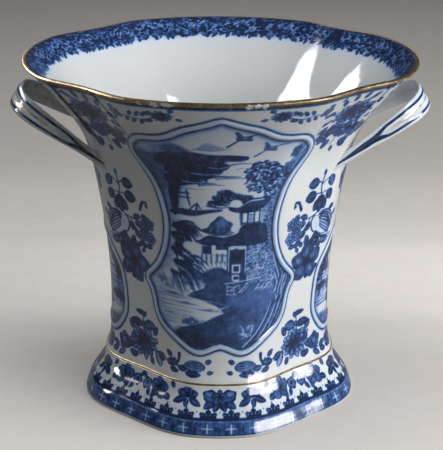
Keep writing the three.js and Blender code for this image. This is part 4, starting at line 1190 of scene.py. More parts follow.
# ------------------------------------------------------------------ body
SEAM_Z, FLOOR_Z, LIP_Z = 26.4, 33.5, 198.4
AROUND = 1296
PHI = -180 + (np.arange(AROUND)) * 360.0 / AROUND
CHIPS = [(-22.6, 197.6, .8, .9), (-18.4, 197.6, 1.5, 1.2), (-14.8, 197.9, 2.4, .9), (7.3, 197.6, 1.2, 1.2), (9.6, 198.0, 1.4, 1.0), (11.7, 197.6, 1.0, 1.2),
         (63, 198, .8, .7), (-71, 198.2, .9, .6), (128, 198, 1.0, .8), (-160, 198, 1.2, .8)]


def chip_field(phi, z):
    """1 in the small flakes along the lip"""
    out = np.zeros(np.broadcast(phi, z).shape)
    for c, h, w, t in CHIPS:
        q = np.hypot((phi - c) * 1.95 / (w * 1.5), (z - h) / (t * 1.25))
        q = q * (1 + .18 * np.sin(5 * np.arctan2(z - h, (phi - c) * 1.9) + c))
        out = np.maximum(out, np.clip((1.15 - q) / .3, 0, 1))
    return out


wall_art = paint_wall()
foot_art = paint_foot()
lip_art = paint_lip()
wall_art.halo = soften(wall_art.ink, 7.0)


def wall_lookup(phi, z):
    """front sheet for the front half, the same sheet turned half round for the back"""
    p = np.mod(phi + 180, 360) - 180
    p = np.where(np.abs(p) <= 90, p, np.mod(p + 360, 360) - 180)
    ink, hat = wall_art.sample(p * K, z)
    keep = wall_art.ink
    wall_art.ink = wall_art.halo
    halo, _ = wall_art.sample(p * K, z)
    wall_art.ink = np.minimum(wall_art.relief, 9)
    rel, _ = wall_art.sample(p * K, z)
    wall_art.ink = keep
    return ink, hat, halo, rel, p


def rib_field(p, z):
    """moulded ribs that run down from the lip beside each corner"""
    a, right = np.abs(p), p > 0
    r_mm = prof_r(z) * math.pi / 180
    out = np.zeros(np.broadcast(a, z).shape)
    line = np.zeros_like(out)

    def stroke(x, c, half, soft=.22):
        return np.clip((half - np.abs(x - c)) / soft + .5, 0, 1)
    # inner rib, from the frame's corner up to the lip
    c = np.where(right, np.interp(z, (168, 175, 184, 192, 198), (36.4, 37.6, 40.4, 43.2, 46.0)), np.interp(z, (168, 175, 185, 198), (36.0, 37.6, 39.2, 41.0)))
    x = (a - c) * r_mm
    fade = np.clip((z - 170) / 5, 0, 1) * np.clip((198.3 - z) / 1.2, 0, 1)
    out = np.maximum(out, fade * .55 * np.exp(-(x / .75) ** 2))
    # dark lines either side of the crest; on the left side they are drawn wider and stronger as painted shade
    line = np.maximum(line, fade * stroke(x, 1.15, np.where(right, .34, .55)))
    line = np.maximum(line, fade * np.where(right, .25, .9) * stroke(x, -1.15, .36))
    # outer rib, from where the handle springs up to the lip
    c = np.where(right, np.interp(z, (165, 177, 190, 198), (56.8, 57.0, 58.8, 58.6)), np.interp(z, (164, 171, 184, 198), (57.4, 58.9, 59.0, 57.6)))
    x = (a - c) * r_mm
    fade = np.clip((z - 162) / 6, 0, 1) * np.clip((198.3 - z) / 1.2, 0, 1)
    out = np.maximum(out, fade * .75 * np.exp(-((x + 2.3) / .9) ** 2))
    out = np.maximum(out, fade * .75 * np.exp(-((x - 2.3) / .9) ** 2))
    # dark line down the rib; on the left side it is drawn much wider as painted shade on the rib's shaded flank
    line = np.maximum(line, fade * stroke(x, 0, np.where(right, .75, 1.9), .4))
    line = np.maximum(line, fade * np.where(right, .6, .3) * stroke(x, 4.1, .45, .4))
    return out, line


def body_mesh():
    nz = 380
    z_out = np.linspace(SEAM_Z + .05, LIP_Z + .3, nz)
    X, Z = np.meshgrid(PHI, z_out)
    r = (prof_r(Z) - .06) * lobe(X, Z)
    x, y = ring_xy(X, r)
    P = np.stack([x, y, Z], -1)
    N = grid_normals(P)
    ink, hat, halo, rel, p = wall_lookup(X, Z)
    rib, rib_line_and_shade = rib_field(p, Z)
    band = .62 * (.5 + .5 * np.cos(math.pi * np.clip(rel / 2.35, 0, 1)))
    rr = np.random.RandomState(4)
    wob = np.zeros_like(Z)
    for _ in range(9):
        k, kz, ph, a = rr.randint(1, 9), rr.uniform(.01, .05), rr.uniform(0, 6.3), rr.uniform(.02, .055)
        wob += a * np.sin(k * np.radians(X) + kz * Z + ph)
    wob *= np.clip((Z - SEAM_Z) / 8, 0, 1) * np.clip((193 - Z) / 12, 0, 1)
    chips = chip_field(X, Z)
    h = band + rib + wob - .10 * ink * 0 - .34 * chips
    P = P + N * h[..., None]
    ink = np.maximum(ink, rib_line_and_shade * .93)
    ink = ink * (1 - chips)
    outer = P
    # lip: a rounded turn over the top, kept just under the gilding
    top_r = lambda z: (prof_r(z) - .06)
    lip_pts = [(111.35, 199.0), (111.0, 199.4), (110.5, 199.62), (110.0, 199.72), (109.55, 199.78), (109.1, 199.80), (108.6, 199.72), (108.1, 199.5), (107.6, 199.15), (107.1, 198.7), (106.6, 198.25)]
    lip_rows = []
    for rad, z in lip_pts:
        lx, ly = ring_xy(PHI, rad * lobe(PHI, z))
        lip_rows.append(np.stack([lx, ly, np.full(AROUND, z)], -1))
    inner_r = lambda z: prof_r(z) - np.interp(z, *WALL)
    z_in = np.concatenate([np.linspace(197.9, 188, 42), np.linspace(187, 150, 26), np.linspace(147, 48, 30)])
    XI, ZI = np.meshgrid(PHI, z_in)
    ix, iy = ring_xy(XI, inner_r(ZI) * lobe(XI, ZI))
    inner = np.stack([ix, iy, ZI], -1)
    floor_pts = [(inner_r(46) - .15, 44.6), (inner_r(46) - .7, 41.6), (inner_r(46) - 2.2, 38.4), (inner_r(46) - 5.0, 35.6), (inner_r(46) - 8.6, 34.1),
                 (inner_r(46) - 13, 33.6), (36, 33.55), (22, 33.5), (10, 33.5), (2, 33.5)]
    floor_rows = []
    for rad, z in floor_pts:
        lob = 1 + (lobe(PHI, z) - 1) * min(1, rad / 55)
        fx, fy = ring_xy(PHI, rad * lob)
        floor_rows.append(np.stack([fx, fy, np.full(AROUND, z)], -1))
    base_rows = []
    for rad in (2, 20, 40, 58, float(prof_r(SEAM_Z)) - 1.2, float(prof_r(SEAM_Z)) - .35):
        bx, by = ring_xy(PHI, rad * (1 + (lobe(PHI, SEAM_Z) - 1) * min(1, rad / 55)))
        base_rows.append(np.stack([bx, by, np.full(AROUND, SEAM_Z + .02)], -1))
    rows = np.concatenate([np.array(base_rows), outer, np.array(lip_rows), inner, np.array(floor_rows)])
    m = len(rows)
    nb, no, nl, ni = len(base_rows), nz, len(lip_rows), len(z_in)
    A = {k: np.zeros((m, AROUND)) for k in ("ink", "hatch", "halo", "grime_and_shade", "worn")}
    A["ink"][nb:nb + no] = ink
    A["hatch"][nb:nb + no] = hat
    A["halo"][nb:nb + no] = halo
    # border inside the lip
    from_low = (inner_r(np.append([p[1] for p in lip_pts], z_in)) * 0 + np.append([p[0] for p in lip_pts], inner_r(z_in)), np.append([p[1] for p in lip_pts], z_in))
    step = np.hypot(np.diff(from_low[0]), np.diff(from_low[1]))
    run = np.concatenate([[0], np.cumsum(step)])
    at_low = np.interp(-190.0, -from_low[1][6:], run[6:])
    hz = np.broadcast_to((at_low - run)[:, None], (nl + ni, AROUND))
    XL = np.broadcast_to(PHI, hz.shape)
    pp = np.mod(XL + 45, 90) - 45
    flip = np.where(np.floor((XL + 45) / 90) % 2 == 0, 1, -1)
    bi, bh = lip_art.sample(pp * flip * K, np.clip(hz, -2, 17.9))
    on = hz > -2
    rows_ = slice(nb + no + 4, nb + no + nl + ni)
    A["ink"][rows_] = np.where(on, bi, 0)[4:]
    A["hatch"][rows_] = np.where(on, bh, 0)[4:]
    A["halo"][rows_] = (np.clip((hz + 9) / 8, 0, 1) * .35)[4:]
    # soiling settles above the seam and beside the moulded frames; the darkening along the ribs is painted shade
    g = np.zeros((m, AROUND))
    g[nb:nb + no] = np.clip((31 - Z) / 4, 0, 1) * .5 + .22 * np.exp(-((rel - 2.5) / .7) ** 2) + .12 * rib_line_and_shade
    A["grime_and_shade"] = g
    A["worn"][nb:nb + no] = chips
    v = np.concatenate([np.linspace(.005, .02, nb), np.linspace(.025, .735, no), np.linspace(.738, .75, nl),
                        .752 + .2 * (198 - z_in) / 150 * 1.0, np.linspace(.958, .985, len(floor_rows))])
    return turned("body_porcelain", rows, AROUND, centre_first=True, centre_last=True, attrs=A, vmap=v)


# ------------------------------------------------------------------ foot
def foot_mesh():
    pts = [(74.6, .9, 1), (74.9, .35, 1), (75.5, .06, 1), (76.6, .02, 1), (77.7, .04, 1), (78.35, .25, .8), (78.72, .7, .3), (78.85, 1.3, 0)]
    lower = [(r, z) for r, z, _ in pts]
    zs = np.linspace(1.7, SEAM_Z, 62)
    outer = [(float(prof_r(z)) - .05 - .22 * math.sin(math.pi * min(1.0, (z - 1.7) / 7.6)) ** 2, z) for z in zs]
    R = float(prof_r(SEAM_Z))
    inside = [(R - 3.0, SEAM_Z - .02), (R - 8.4, SEAM_Z - .02), (R - 8.4, 24.4), (R - 7.9, 21), (63.6, 15.5), (69.4, 9), (72.9, 4), (74.2, 1.8)]
    prof = lower + outer + inside
    rows = []
    for rad, z in prof:
        fx, fy = ring_xy(PHI, rad * lobe(PHI, z))
        rows.append(np.stack([fx, fy, np.full(AROUND, z)], -1))
    rows = np.array(rows)
    m = len(rows)
    nl, no = len(lower), len(outer)
    X, Z = np.meshgrid(PHI, zs)
    pp = np.mod(X + 45, 90) - 45
    ink, hat = foot_art.sample(pp * K, Z)
    foot_art.ink, keep = soften(foot_art.ink, 9.0), foot_art.ink
    halo, _ = foot_art.sample(pp * K, Z)
    foot_art.ink = keep
    A = {k: np.zeros((m, AROUND)) for k in ("ink", "hatch", "halo", "grime_and_shade", "worn")}
    A["ink"][nl:nl + no], A["hatch"][nl:nl + no], A["halo"][nl:nl + no] = ink, hat, halo
    A["halo"][:nl] = .3
    A["grime_and_shade"][nl:nl + no] = np.clip((Z - 24.2) / 2.2, 0, 1) * .5 + np.clip((1.9 - Z) / .8, 0, 1) * .3
    for i, (_, _, w) in enumerate(pts):
        A["worn"][i] = w
    A["grime_and_shade"][:nl] = .5
    A["grime_and_shade"][nl + no:] = .35
    v = np.concatenate([np.linspace(.0, .12, nl), np.linspace(.14, .86, no), np.linspace(.88, 1, len(inside))])
    return turned("foot_porcelain", rows, AROUND, closed_ring=True, attrs=A, vmap=np.clip(v, 0, 1))


# ------------------------------------------------------------------ gilt lines
def gilt_mesh(name, prof, wear=None):
    rows = []
    for rad, z in prof:
        gx, gy = ring_xy(PHI, rad * lobe(PHI, z))
        rows.append(np.stack([gx, gy, np.full(AROUND, z)], -1))
    rows = np.array(rows)
    A = {"worn": np.zeros(rows.shape[:2])}
    if wear is not None:
        A["worn"] = wear(rows)
    return turned(name, rows, AROUND, closed_ring=True, attrs=A, vmap=np.linspace(.02, .98, len(rows)))


def rim_wear(rows):
    X = np.broadcast_to(PHI, rows.shape[:2])
    return chip_field(X, rows[..., 2] - .2)


def rim_profile():
    out = [(float(prof_r(z)) - .005, z) for z in (197.3, 197.5, 197.9, 198.3)]
    out[0] = (out[0][0] - .10, out[0][1])
    top = [(111.58, 198.9), (111.34, 199.35), (110.95, 199.68), (110.45, 199.87), (109.95, 199.94), (109.5, 199.93), (109.15, 199.86), (108.95, 199.74)]
    under = [(109.2, 199.6), (109.9, 199.5), (110.6, 199.2), (110.9, 198.6), (110.6, 197.9), (110.2, 197.6)]
    return out + top + under


def seam_profile():
    r0 = float(prof_r(27.0))
    return [(r0 - .9, 26.45), (r0 + .02, 26.42), (r0 + .13, 26.6), (r0 + .15, 27.0), (r0 + .13, 27.4), (r0 + .02, 27.58), (r0 - .9, 27.55)]


# ------------------------------------------------------------------ handles
HANDLE = np.array([[55.0, -37.2, 140.8], [64.1, -34.7, 146.5], [72.4, -32.8, 151.7], [80.7, -30.8, 156.9], [89.2, -28.8, 162.2], [98.0, -26.5, 167.7],
                   [106.1, -23.0, 172.8], [111.7, -17.2, 176.3], [114.3, -9.4, 177.9], [115.0, 0, 178.3]])
STRAP_W = ([0, 10, 26, 33, 40, 54, 64, 84], [5.2, 5.4, 6.4, 7.4, 9.0, 11.2, 12.2, 12.8])
STRAP_T = 3.4


def strap_mesh(name, side):
    half = HANDLE * [side, 1, 1]
    back = half[:-1][::-1] * [1, -1, 1]
    c = spline(np.vstack([half, back]), 24)
    s = np.concatenate([[0], np.cumsum(np.linalg.norm(np.diff(c, axis=0), axis=1))])
    n_s, n_r = ((420, 96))
    t = np.linspace(0, s[-1], n_s)
    C = np.stack([np.interp(t, s, c[:, k]) for k in range(3)], 1)
    for _ in range(6):
        C[1:-1] = .5 * C[1:-1] + .25 * (C[:-2] + C[2:])
    T = np.gradient(C, axis=0)
    T /= np.linalg.norm(T, axis=1, keepdims=True)
    a = math.radians(32)
    up = np.array([-side * math.sin(a), 0, math.cos(a)])
    out = side * np.cross(T, up)
    out /= np.linalg.norm(out, axis=1, keepdims=True)
    wide = np.cross(out, T)
    along = np.minimum(t, s[-1] - t)
    w = np.interp(along, *STRAP_W) / 2 - .05
    q = STRAP_T * (1 + .25 * np.clip(1 - along / 30, 0, 1)) / 2 - .05
    th = np.arange(n_r) / n_r * 2 * math.pi
    ct, st = np.cos(th), np.sin(th)
    A = np.sign(ct) * np.abs(ct) ** .82
    B = np.sign(st) * np.abs(st) ** .62
    groove = .30 * np.exp(-(A / .26) ** 2)
    B = B * (1 - groove * np.abs(st) ** .5)
    rows = C[:, None, :] + wide[:, None, :] * (A[None, :, None] * w[:, None, None]) + out[:, None, :] * (B[None, :, None] * q[:, None, None])
    # the luted ends stop in the middle of the wall
    z_w = rows[..., 2]
    mid = (prof_r(z_w) - .5 * np.interp(z_w, *WALL)) * lobe(np.degrees(np.arctan2(rows[..., 0], -rows[..., 1])), z_w)
    rows[..., :2] *= np.maximum(1, mid / np.hypot(rows[..., 0], rows[..., 1]))[..., None]
    # painted stripes on the outer face
    mm = A[None, :] * w[:, None]
    face = np.clip(B * 4, 0, 1)[None, :]
    if side > 0:
        face = face * 1.0
    m_ = np.clip((along - (33 if side > 0 else 23)) / 14, 0, 1)[:, None]
    m_ = m_ * m_ * (3 - 2 * m_)
    c_off = (.29 * 2 * w)[:, None] * m_
    wdt = ((1.75 if side > 0 else 1.5) * (1 - m_) + .72 * m_) * np.clip((along - 6) / 24, .25, 1)[:, None]
    edge = .25
    stripe = np.clip((wdt - np.abs(np.abs(mm) - c_off)) / edge + .5, 0, 1)
    ink = stripe * face * .9
    gold = np.clip((.55 - np.abs(mm - .02)) / .2 + .5, 0, 1) * face * np.clip((along - 46) / 8, 0, 1)[:, None]
    # a thinner line along each edge of the strap, worked out but given no weight, so it is not painted
    rim_line = np.clip((.26 - np.abs(np.abs(mm) - (w[:, None] - .55))) / .2 + .5, 0, 1) * np.clip((along - 34) / 8, 0, 1)[:, None]
    ink = np.maximum(ink, 0 * rim_line)
    # the left strap is painted darker all over: painted shade on the side turned from the lamps; both straps are darker
    # down the middle groove
    A_ = {"ink": ink, "hatch": ink * .4, "halo": .25 * face * np.ones_like(ink), "grime_and_shade": (.25 * np.exp(-(A / .2) ** 2)[None, :] + (.0 if side > 0 else .9)) * np.ones_like(ink), "worn": np.zeros_like(ink),
          "gold": gold}
    return turned(name, rows, n_r, centre_first=True, centre_last=True, attrs=A_, vmap=np.linspace(.02, .98, n_s))




# ------------------------------------------------------------------ materials
class Net:
    """short hand for building one node material"""

    def __init__(self, name):
        self.mat = bpy.data.materials.new(name)
        self.mat.use_nodes = True
        self.t = self.mat.node_tree
        self.t.nodes.clear()
        self.out = self.t.nodes.new("ShaderNodeOutputMaterial")
        self.bsdf = self.t.nodes.new("ShaderNodeBsdfPrincipled")
        self.t.links.new(self.bsdf.outputs[0], self.out.inputs[0])
        self.obj = self.t.nodes.new("ShaderNodeTexCoord").outputs["Object"]

    def put(self, node, key, val):
        if val is None:
            return
        if isinstance(val, bpy.types.NodeSocket):
            self.t.links.new(val, node.inputs[key])
        else:
            node.inputs[key].default_value = val

    def attr(self, name):
        n = self.t.nodes.new("ShaderNodeAttribute")
        n.attribute_name = name
        return n.outputs["Fac"]

    def math(self, op, a, b=None, c=None, clamp=False):
        n = self.t.nodes.new("ShaderNodeMath")
        n.operation = op
        n.use_clamp = clamp
        for i, v in enumerate((a, b, c)):
            self.put(n, i, v)
        return n.outputs[0]

    def noise(self, scale, detail=3.0, rough=.55, stretch=None, dist=0.0, seed=0.0):
        v = self.obj
        if stretch is not None or seed:
            m = self.t.nodes.new("ShaderNodeMapping")
            self.t.links.new(v, m.inputs["Vector"])
            m.inputs["Scale"].default_value = stretch or (1, 1, 1)
            m.inputs["Location"].default_value = (seed, seed * .7, seed * 1.3)
            v = m.outputs[0]
        n = self.t.nodes.new("ShaderNodeTexNoise")
        self.t.links.new(v, n.inputs["Vector"])
        n.inputs["Scale"].default_value = scale
        n.inputs["Detail"].default_value = detail
        n.inputs["Roughness"].default_value = rough
        n.inputs["Distortion"].default_value = dist
        return n.outputs["Fac"]

    def cells(self, scale, feature="F1"):
        n = self.t.nodes.new("ShaderNodeTexVoronoi")
        n.feature = feature
        self.t.links.new(self.obj, n.inputs["Vector"])
        n.inputs["Scale"].default_value = scale
        return n.outputs["Distance"]

    def ramp(self, fac, stops, mode="LINEAR"):
        n = self.t.nodes.new("ShaderNodeValToRGB")
        n.color_ramp.interpolation = mode
        e = n.color_ramp.elements
        while len(e) > 1:
            e.remove(e[-1])
        for i, (pos, col) in enumerate(stops):
            el = e[0] if i == 0 else e.new(pos)
            el.position = pos
            el.color = tuple(col) + (1,) if len(col) == 3 else (col[0],) * 3 + (1,)
        self.t.links.new(fac, n.inputs[0])
        return n.outputs[0]

    def level(self, fac, a, b, lo=0.0, hi=1.0):
        n = self.t.nodes.new("ShaderNodeMapRange")
        n.interpolation_type = "SMOOTHSTEP"
        self.put(n, 0, fac)
        for i, v in zip((1, 2, 3, 4), (a, b, lo, hi)):
            self.put(n, i, v)
        return n.outputs[0]

    def mix(self, fac, a, b, blend="MIX"):
        n = self.t.nodes.new("ShaderNodeMix")
        n.data_type = "RGBA"
        n.blend_type = blend
        self.put(n, 0, fac)
        for k, v in ((6, a), (7, b)):
            if isinstance(v, bpy.types.NodeSocket):
                self.t.links.new(v, n.inputs[k])
            else:
                n.inputs[k].default_value = tuple(v) + (1,)
        return n.outputs[2]

    def bump(self, height, strength, dist, normal=None):
        n = self.t.nodes.new("ShaderNodeBump")
        n.inputs["Strength"].default_value = strength
        n.inputs["Distance"].default_value = dist
        self.put(n, "Height", height)
        self.put(n, "Normal", normal)
        return n.outputs[0]

    def finish(self, color, rough, metal=0.0, normal=None, ior=1.5, coat=0.0, coat_rough=.03, spec=.5):
        b = self.bsdf
        self.put(b, "Base Color", color if isinstance(color, bpy.types.NodeSocket) else tuple(color) + (1,))
        self.put(b, "Roughness", rough)
        self.put(b, "Metallic", metal)
        b.inputs["IOR"].default_value = ior
        b.inputs["Specular IOR Level"].default_value = spec
        b.inputs["Coat Weight"].default_value = coat
        b.inputs["Coat Roughness"].default_value = coat_rough
        if normal is not None:
            self.put(b, "Normal", normal)
        return self.mat


WHITE = (.600, .619, .626)


def porcelain(name, wash=1.0, gilt_line=False, seed=0.0):
    m = Net(name)
    ink, hat, halo = m.attr("ink"), m.attr("hatch"), m.attr("halo")
    grime_and_shade, worn = m.attr("grime_and_shade"), m.attr("worn")
    cloud = m.noise(210, 4, .6, seed=seed)                              # pooling of the wash, 4 mm
    brush = m.noise(520, 4, .62, stretch=(1.0, 1.0, .42), dist=.6, seed=seed + 3)   # brush marks
    grain = m.noise(1900, 2, .5, seed=seed + 5)                         # grain of the pigment
    # how dark the wash is: drawn strength, pooled and brushed
    vary = m.math("MULTIPLY_ADD", m.math("SUBTRACT", cloud, .5), .85, 1.0)
    dens = m.math("MULTIPLY", ink, vary)
    strokes = m.math("MULTIPLY", m.math("SUBTRACT", brush, .5), m.math("MULTIPLY", hat, 1.15 * wash))
    dens = m.math("ADD", dens, m.math("MULTIPLY", strokes, m.level(ink, .15, .6)))
    dens = m.math("ADD", dens, m.math("MULTIPLY", m.math("MULTIPLY", m.math("SUBTRACT", grain, .5), .34), m.level(ink, .05, .4)))
    dens = m.math("ADD", dens, m.math("MULTIPLY", halo, .11))
    dens = m.math("MAXIMUM", dens, 0.0, clamp=True)
    blue = m.ramp(dens, [(0, WHITE), (.10, (.50, .585, .69)), (.26, (.25, .378, .59)), (.46, (.097, .19, .425)), (.62, (.047, .108, .295)),
                         (.80, (.025, .052, .148)), (1.0, (.013, .023, .062))])
    # the glaze itself: faintly uneven, a few kiln specks, and a brownish darkening that is partly soiling (above the
    # seam, beside the frames, on the foot) and partly painted shade (along the ribs, all over the left handle)
    tint = m.noise(34, 3, .5, seed=seed + 9)
    col = m.mix(m.level(tint, .35, .72, 0, .30), blue, (.90, .93, .97), "MULTIPLY")
    speck = m.math("MULTIPLY", m.level(m.cells(95), .0, .085, 1, 0), m.level(m.noise(26, 2, .5, seed=seed + 13), .60, .72))
    col = m.mix(m.math("MULTIPLY", speck, .55), col, (.11, .085, .06))
    dirt_and_shade = m.math("MULTIPLY", grime_and_shade, m.level(m.noise(150, 4, .6, seed=seed + 17), .36, .66))
    col = m.mix(m.math("MULTIPLY", dirt_and_shade, .52), col, (.30, .27, .22))
    # chips and the ground foot ring show the bare paste
    bare = m.math("MULTIPLY", worn, m.level(m.noise(700, 3, .6, seed=seed + 21), .15, .42))
    paste = m.mix(m.noise(320, 4, .6, seed=seed + 25), (.66, .63, .57), (.80, .78, .73))
    col = m.mix(bare, col, paste)
    rough = m.math("ADD", m.level(m.noise(120, 3, .6, seed=seed + 29), .3, .75, .055, .13), m.math("MULTIPLY", bare, .55))
    rough = m.math("ADD", rough, m.math("MULTIPLY", dirt_and_shade, .2))
    metal = 0.0
    if gilt_line:
        gold = m.attr("gold")
        wear = m.level(m.noise(420, 4, .65, seed=seed + 33), .38, .52)
        on = m.math("MULTIPLY", gold, wear)
        col = m.mix(on, col, (.50, .36, .19))
        metal = m.math("MULTIPLY", on, .85)
        rough = m.math("ADD", rough, m.math("MULTIPLY", on, .2))
    # glaze skin: long soft waves, fine orange peel, the wash standing a trace proud
    n1 = m.bump(m.noise(46, 3, .5, seed=seed + 37), .16, .0009)
    n2 = m.bump(m.noise(430, 2, .5, seed=seed + 41), .05, .00016, n1)
    n3 = m.bump(dens, .06, .00012, n2)
    n4 = m.bump(bare, .5, .0002, n3)
    return m.finish(col, rough, metal, n4, ior=1.52)


def gilding(name, worn_more=0.0, seed=0.0):
    m = Net(name)
    worn = m.attr("worn")
    rub = m.noise(160, 5, .68, seed=seed)
    fine = m.noise(900, 3, .6, seed=seed + 3)
    tone = m.ramp(m.noise(240, 4, .6, seed=seed + 7), [(.25, (.15, .10, .055)), (.5, (.33, .245, .135)), (.75, (.56, .45, .28))])
    off = m.math("MAXIMUM", worn, m.level(m.math("ADD", rub, m.math("MULTIPLY", fine, .25)), .80 - worn_more, .90 - worn_more))
    col = m.mix(off, tone, (.70, .70, .68))
    metal = m.math("MULTIPLY", m.math("SUBTRACT", 1.0, off), .88)
    rough = m.level(fine, .3, .7, .24, .46)
    n1 = m.bump(fine, .25, .0001)
    n2 = m.bump(off, .35, .00012, n1)
    return m.finish(col, rough, metal, n2, ior=1.45)


def floor_look(name="floor_sweep", deep=1.0):
    m = Net(name)
    n = m.noise(1.6, 3, .5)
    f = m.noise(60, 3, .6, seed=4)
    col = m.mix(m.level(n, .3, .7), (.838, .798, .759), (.862, .821, .783))
    col = m.mix(m.level(f, .3, .8, 0, .10), col, (.52, .49, .46))
    xyz = m.t.nodes.new("ShaderNodeSeparateXYZ")
    m.t.links.new(m.obj, xyz.inputs[0])
    # painted pool of light: the floor's colour is lightest in a band a little behind the vase and darker in front of it
    # and further back
    back = m.level(xyz.outputs[1], -.2, 1.3)
    pool = m.ramp(back, [(k, (v, v, v)) for k, v in ((.06, .78), (.095, .86), (.125, .99), (.165, 1.0), (.20, .97), (.25, .84), (.30, .78), (.453, .66), (.733, .72), (1.0, .80))], "EASE")
    col = m.mix(1.0, col, pool, "MULTIPLY")
    # the copy that the bounce sees is painted darker still: painted shade
    if deep < 1:
        col = m.mix(1.0, col, (deep, deep, deep), "MULTIPLY")
    return m.finish(col, m.level(f, .3, .7, .62, .74), 0.0, m.bump(f, .04, .0005), ior=1.4, spec=.28)


# ------------------------------------------------------------------ pieces
body = body_mesh()
foot = foot_mesh()
rim_gilt = gilt_mesh("rim_gilt_line", rim_profile(), rim_wear)
seam_gilt = gilt_mesh("seam_gilt_line", seam_profile())
strap_r = strap_mesh("handle_right_strap", 1)
strap_l = strap_mesh("handle_left_strap", -1)

for ob, node, slot, mat in (
        (body, "body", "body_glaze", porcelain("painted_porcelain_body", seed=0.0)),
        (foot, "foot", "foot_glaze", porcelain("painted_porcelain_foot", seed=2.0)),
        (rim_gilt, "rim_gilding", "rim_gilt", gilding("worn_gilding_rim")),
        (seam_gilt, "seam_gilding", "seam_gilt", gilding("worn_gilding_seam", .06, 5.0)),
        (strap_r, "handle_right", "handle_glaze", porcelain("painted_porcelain_handle", gilt_line=True, seed=4.0)),
        (strap_l, "handle_left", "handle_glaze", None)):
    ob.data.materials.append(mat or strap_r.data.materials[0])
    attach(ob, "root")
    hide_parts(node)

# ------------------------------------------------------------------ stage
YAW = math.radians(-0.51)   # the vase stands turned by about half a degree


def turn(x, y, z):
    return Vector((x * math.cos(YAW) - y * math.sin(YAW), x * math.sin(YAW) + y * math.cos(YAW), z))


def sweep(name, drop=0.0):
    """one pale sheet: flat where the vase stands, curving up far behind it"""
    ys = [-3.2, -1.5, 0, 1.2, 2.2]
    prof = [(y, 0.0) for y in ys] + [(2.2 + 1.1 * math.sin(a), 1.1 - 1.1 * math.cos(a)) for a in np.linspace(.15, math.pi / 2, 12)] + [(3.3, 2.6)]
    xs = np.linspace(-4, 4, 17)
    co = np.array([(x * 1000, y * 1000 + drop, z * 1000 - drop) for y, z in prof for x in xs])
    nx = len(xs)
    q = [(j * nx + i, j * nx + i + 1, (j + 1) * nx + i + 1, (j + 1) * nx + i) for j in range(len(prof) - 1) for i in range(nx - 1)]
    return mesh_object(name, co, q)


floor = sweep("studio_sweep")
floor.data.materials.append(floor_look())
# what the glaze sees of the floor is half as bright: a grey sheet takes the place of the pale one in the bounce
dim = sweep("studio_bounce", 1.0)
dim.data.materials.append(floor_look("floor_bounce", .31))
floor.visible_diffuse = floor.visible_glossy = floor.visible_shadow = False
dim.visible_camera = dim.visible_shadow = False


def softbox(name, az, el, dist, w, h, power, color=(1, 1, 1), aim=(0, 0, .11), spread=180):
    a, e = math.radians(az), math.radians(el)
    d = Vector((math.sin(a) * math.cos(e), -math.cos(a) * math.cos(e), math.sin(e)))
    light = bpy.data.lights.new(name, "AREA")
    light.shape = "RECTANGLE"
    light.size, light.size_y = w, h
    light.energy = power
    light.color = color
    light.spread = math.radians(spread)
    ob = bpy.data.objects.new(name, light)
    ob.location = Vector(aim) + d * dist
    ob.rotation_mode = "QUATERNION"
    ob.rotation_quaternion = d.to_track_quat("Z", "Y")
    bpy.context.scene.collection.objects.link(ob)
    return ob


def only(ob, diffuse, glossy):
    """a lamp that fills, or a card that is only mirrored in the glaze"""
    ob.visible_diffuse, ob.visible_glossy = diffuse, glossy
    return ob


# soft fill: most of it from the right and from above, little from the left
only(softbox("soft_right", 65, 14, 1.15, 1.07, .84, 8.6, (1.0, .99, .97)), True, False)
only(softbox("soft_side", 82, 10, 1.15, .8, .8, 7.0, (1.0, .99, .975)), True, False)
only(softbox("soft_high_right", 45, 40, 1.1, .7, .6, 5.0, (1.0, .99, .97)), True, False)
only(softbox("soft_near_right", 95, 25, 1.1, .7, .6, 1.5, (1.0, .99, .97)), True, False)
only(softbox("soft_top", -60, 72, 1.1, .7, .6, 3.7, (.99, .99, 1.0)), True, False)
only(softbox("soft_left", -107, 26, 1.15, .77, .57, 1.2, (.99, .99, 1.0)), True, False)
only(softbox("soft_front_left", -52, 50, 1.25, .6, .5, 1.3, (.99, .99, 1.0)), True, False)
only(softbox("soft_back", 180, 62, 1.2, .8, .6, 2.1, (.98, .99, 1.0)), True, False)
# the lit windows that the glaze mirrors: flat cards, each cut to shape, seen by nothing but reflections


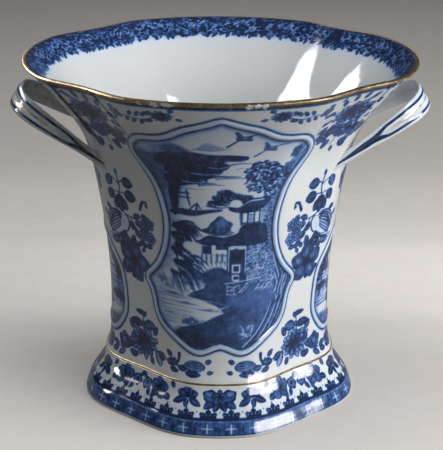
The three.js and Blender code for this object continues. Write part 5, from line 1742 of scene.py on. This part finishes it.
def card(name, aim, dist, outline, glow, color=(1.0, .985, .97)):
    """outline: directions (azimuth, height) as seen from aim, in degrees"""
    aim = Vector(aim) * MM
    rays = []
    for az, el in outline:
        a, e = math.radians(az), math.radians(el)
        rays.append(Vector((math.sin(a) * math.cos(e), -math.cos(a) * math.cos(e), math.sin(e))))
    mid = sum(rays, Vector()).normalized()
    co = np.array([aim + mid * dist] + [aim + r * (dist / r.dot(mid)) for r in rays]) / MM
    n = len(rays)
    ob = mesh_object(name, co, [], [(0, 1 + i, 1 + (i + 1) % n) for i in range(n)])
    mat = bpy.data.materials.new(name)
    mat.use_nodes = True
    nt = mat.node_tree
    nt.nodes.clear()
    out, lit = nt.nodes.new("ShaderNodeOutputMaterial"), nt.nodes.new("ShaderNodeEmission")
    lit.inputs[0].default_value = (*color, 1)
    lit.inputs[1].default_value = glow
    nt.links.new(lit.outputs[0], out.inputs[0])
    ob.data.materials.append(mat)
    ob.visible_camera = ob.visible_diffuse = ob.visible_shadow = ob.visible_transmission = False
    return ob


card("window_left_high", (60, 55, 172), .6, [(-74, 18), (-78, 26.5), (-90, 30.5), (-96, 33.6), (-112, 40.2), (-124, 39.0), (-133, 32.4), (-140, 24), (-138, 16)], 15)
card("window_left_low", (-58, -40, 9), 1.1, [(-105, 8), (-104.5, 15), (-99, 19.5), (-95, 21.5), (-94.8, 11), (-99, 5)], 17)
card("window_left_slit", (-38, -60, 9), 1.1, [(-91.6, 21.4), (-91.4, 25), (-85.4, 25), (-85.2, 21)], 8)
card("window_right", (40, -60, 6), 2.6, [(40, 5), (41, 19), (56, 18), (68, 17), (79, 15), (88.2, 15), (88.6, 1.5), (60, 3)], 18, (.97, .96, 1.0))
card("window_near_right", (-35, 60, 159), .35, [(42, 24), (47, 33), (64, 34), (58, 24)], 14)

world = bpy.data.worlds.new("studio")
bpy.context.scene.world = world
world.use_nodes = True
world.node_tree.nodes["Background"].inputs[0].default_value = (.92, .96, 1.0, 1)
world.node_tree.nodes["Background"].inputs[1].default_value = .03

cam_data = bpy.data.cameras.new("camera")
cam = bpy.data.objects.new("camera", cam_data)
bpy.context.scene.collection.objects.link(cam)
cam_data.sensor_width = 36.0
cam_data.lens = 1757.62 / 450 * 36.0
cam_data.clip_start, cam_data.clip_end = .05, 30
pitch, roll = math.radians(18.2214), math.radians(0.3157)
right = Vector((1, 0, 0))
ahead = Vector((0, math.cos(pitch), -math.sin(pitch)))
above = Vector((0, math.sin(pitch), math.cos(pitch)))
cx_ = right * math.cos(roll) + above * math.sin(roll)
cy_ = -right * math.sin(roll) + above * math.cos(roll)
rot = Matrix((turn(*cx_), turn(*cy_), turn(*(-ahead)))).transposed()
cam.matrix_world = Matrix.Translation(turn(1.055 * MM, -970.44 * MM, 418.79 * MM)) @ rot.to_4x4()
bpy.context.scene.camera = cam

view = bpy.context.scene.view_settings
view.view_transform = "Standard"
view.look = "None"
view.exposure = 0.0
view.gamma = 1.0
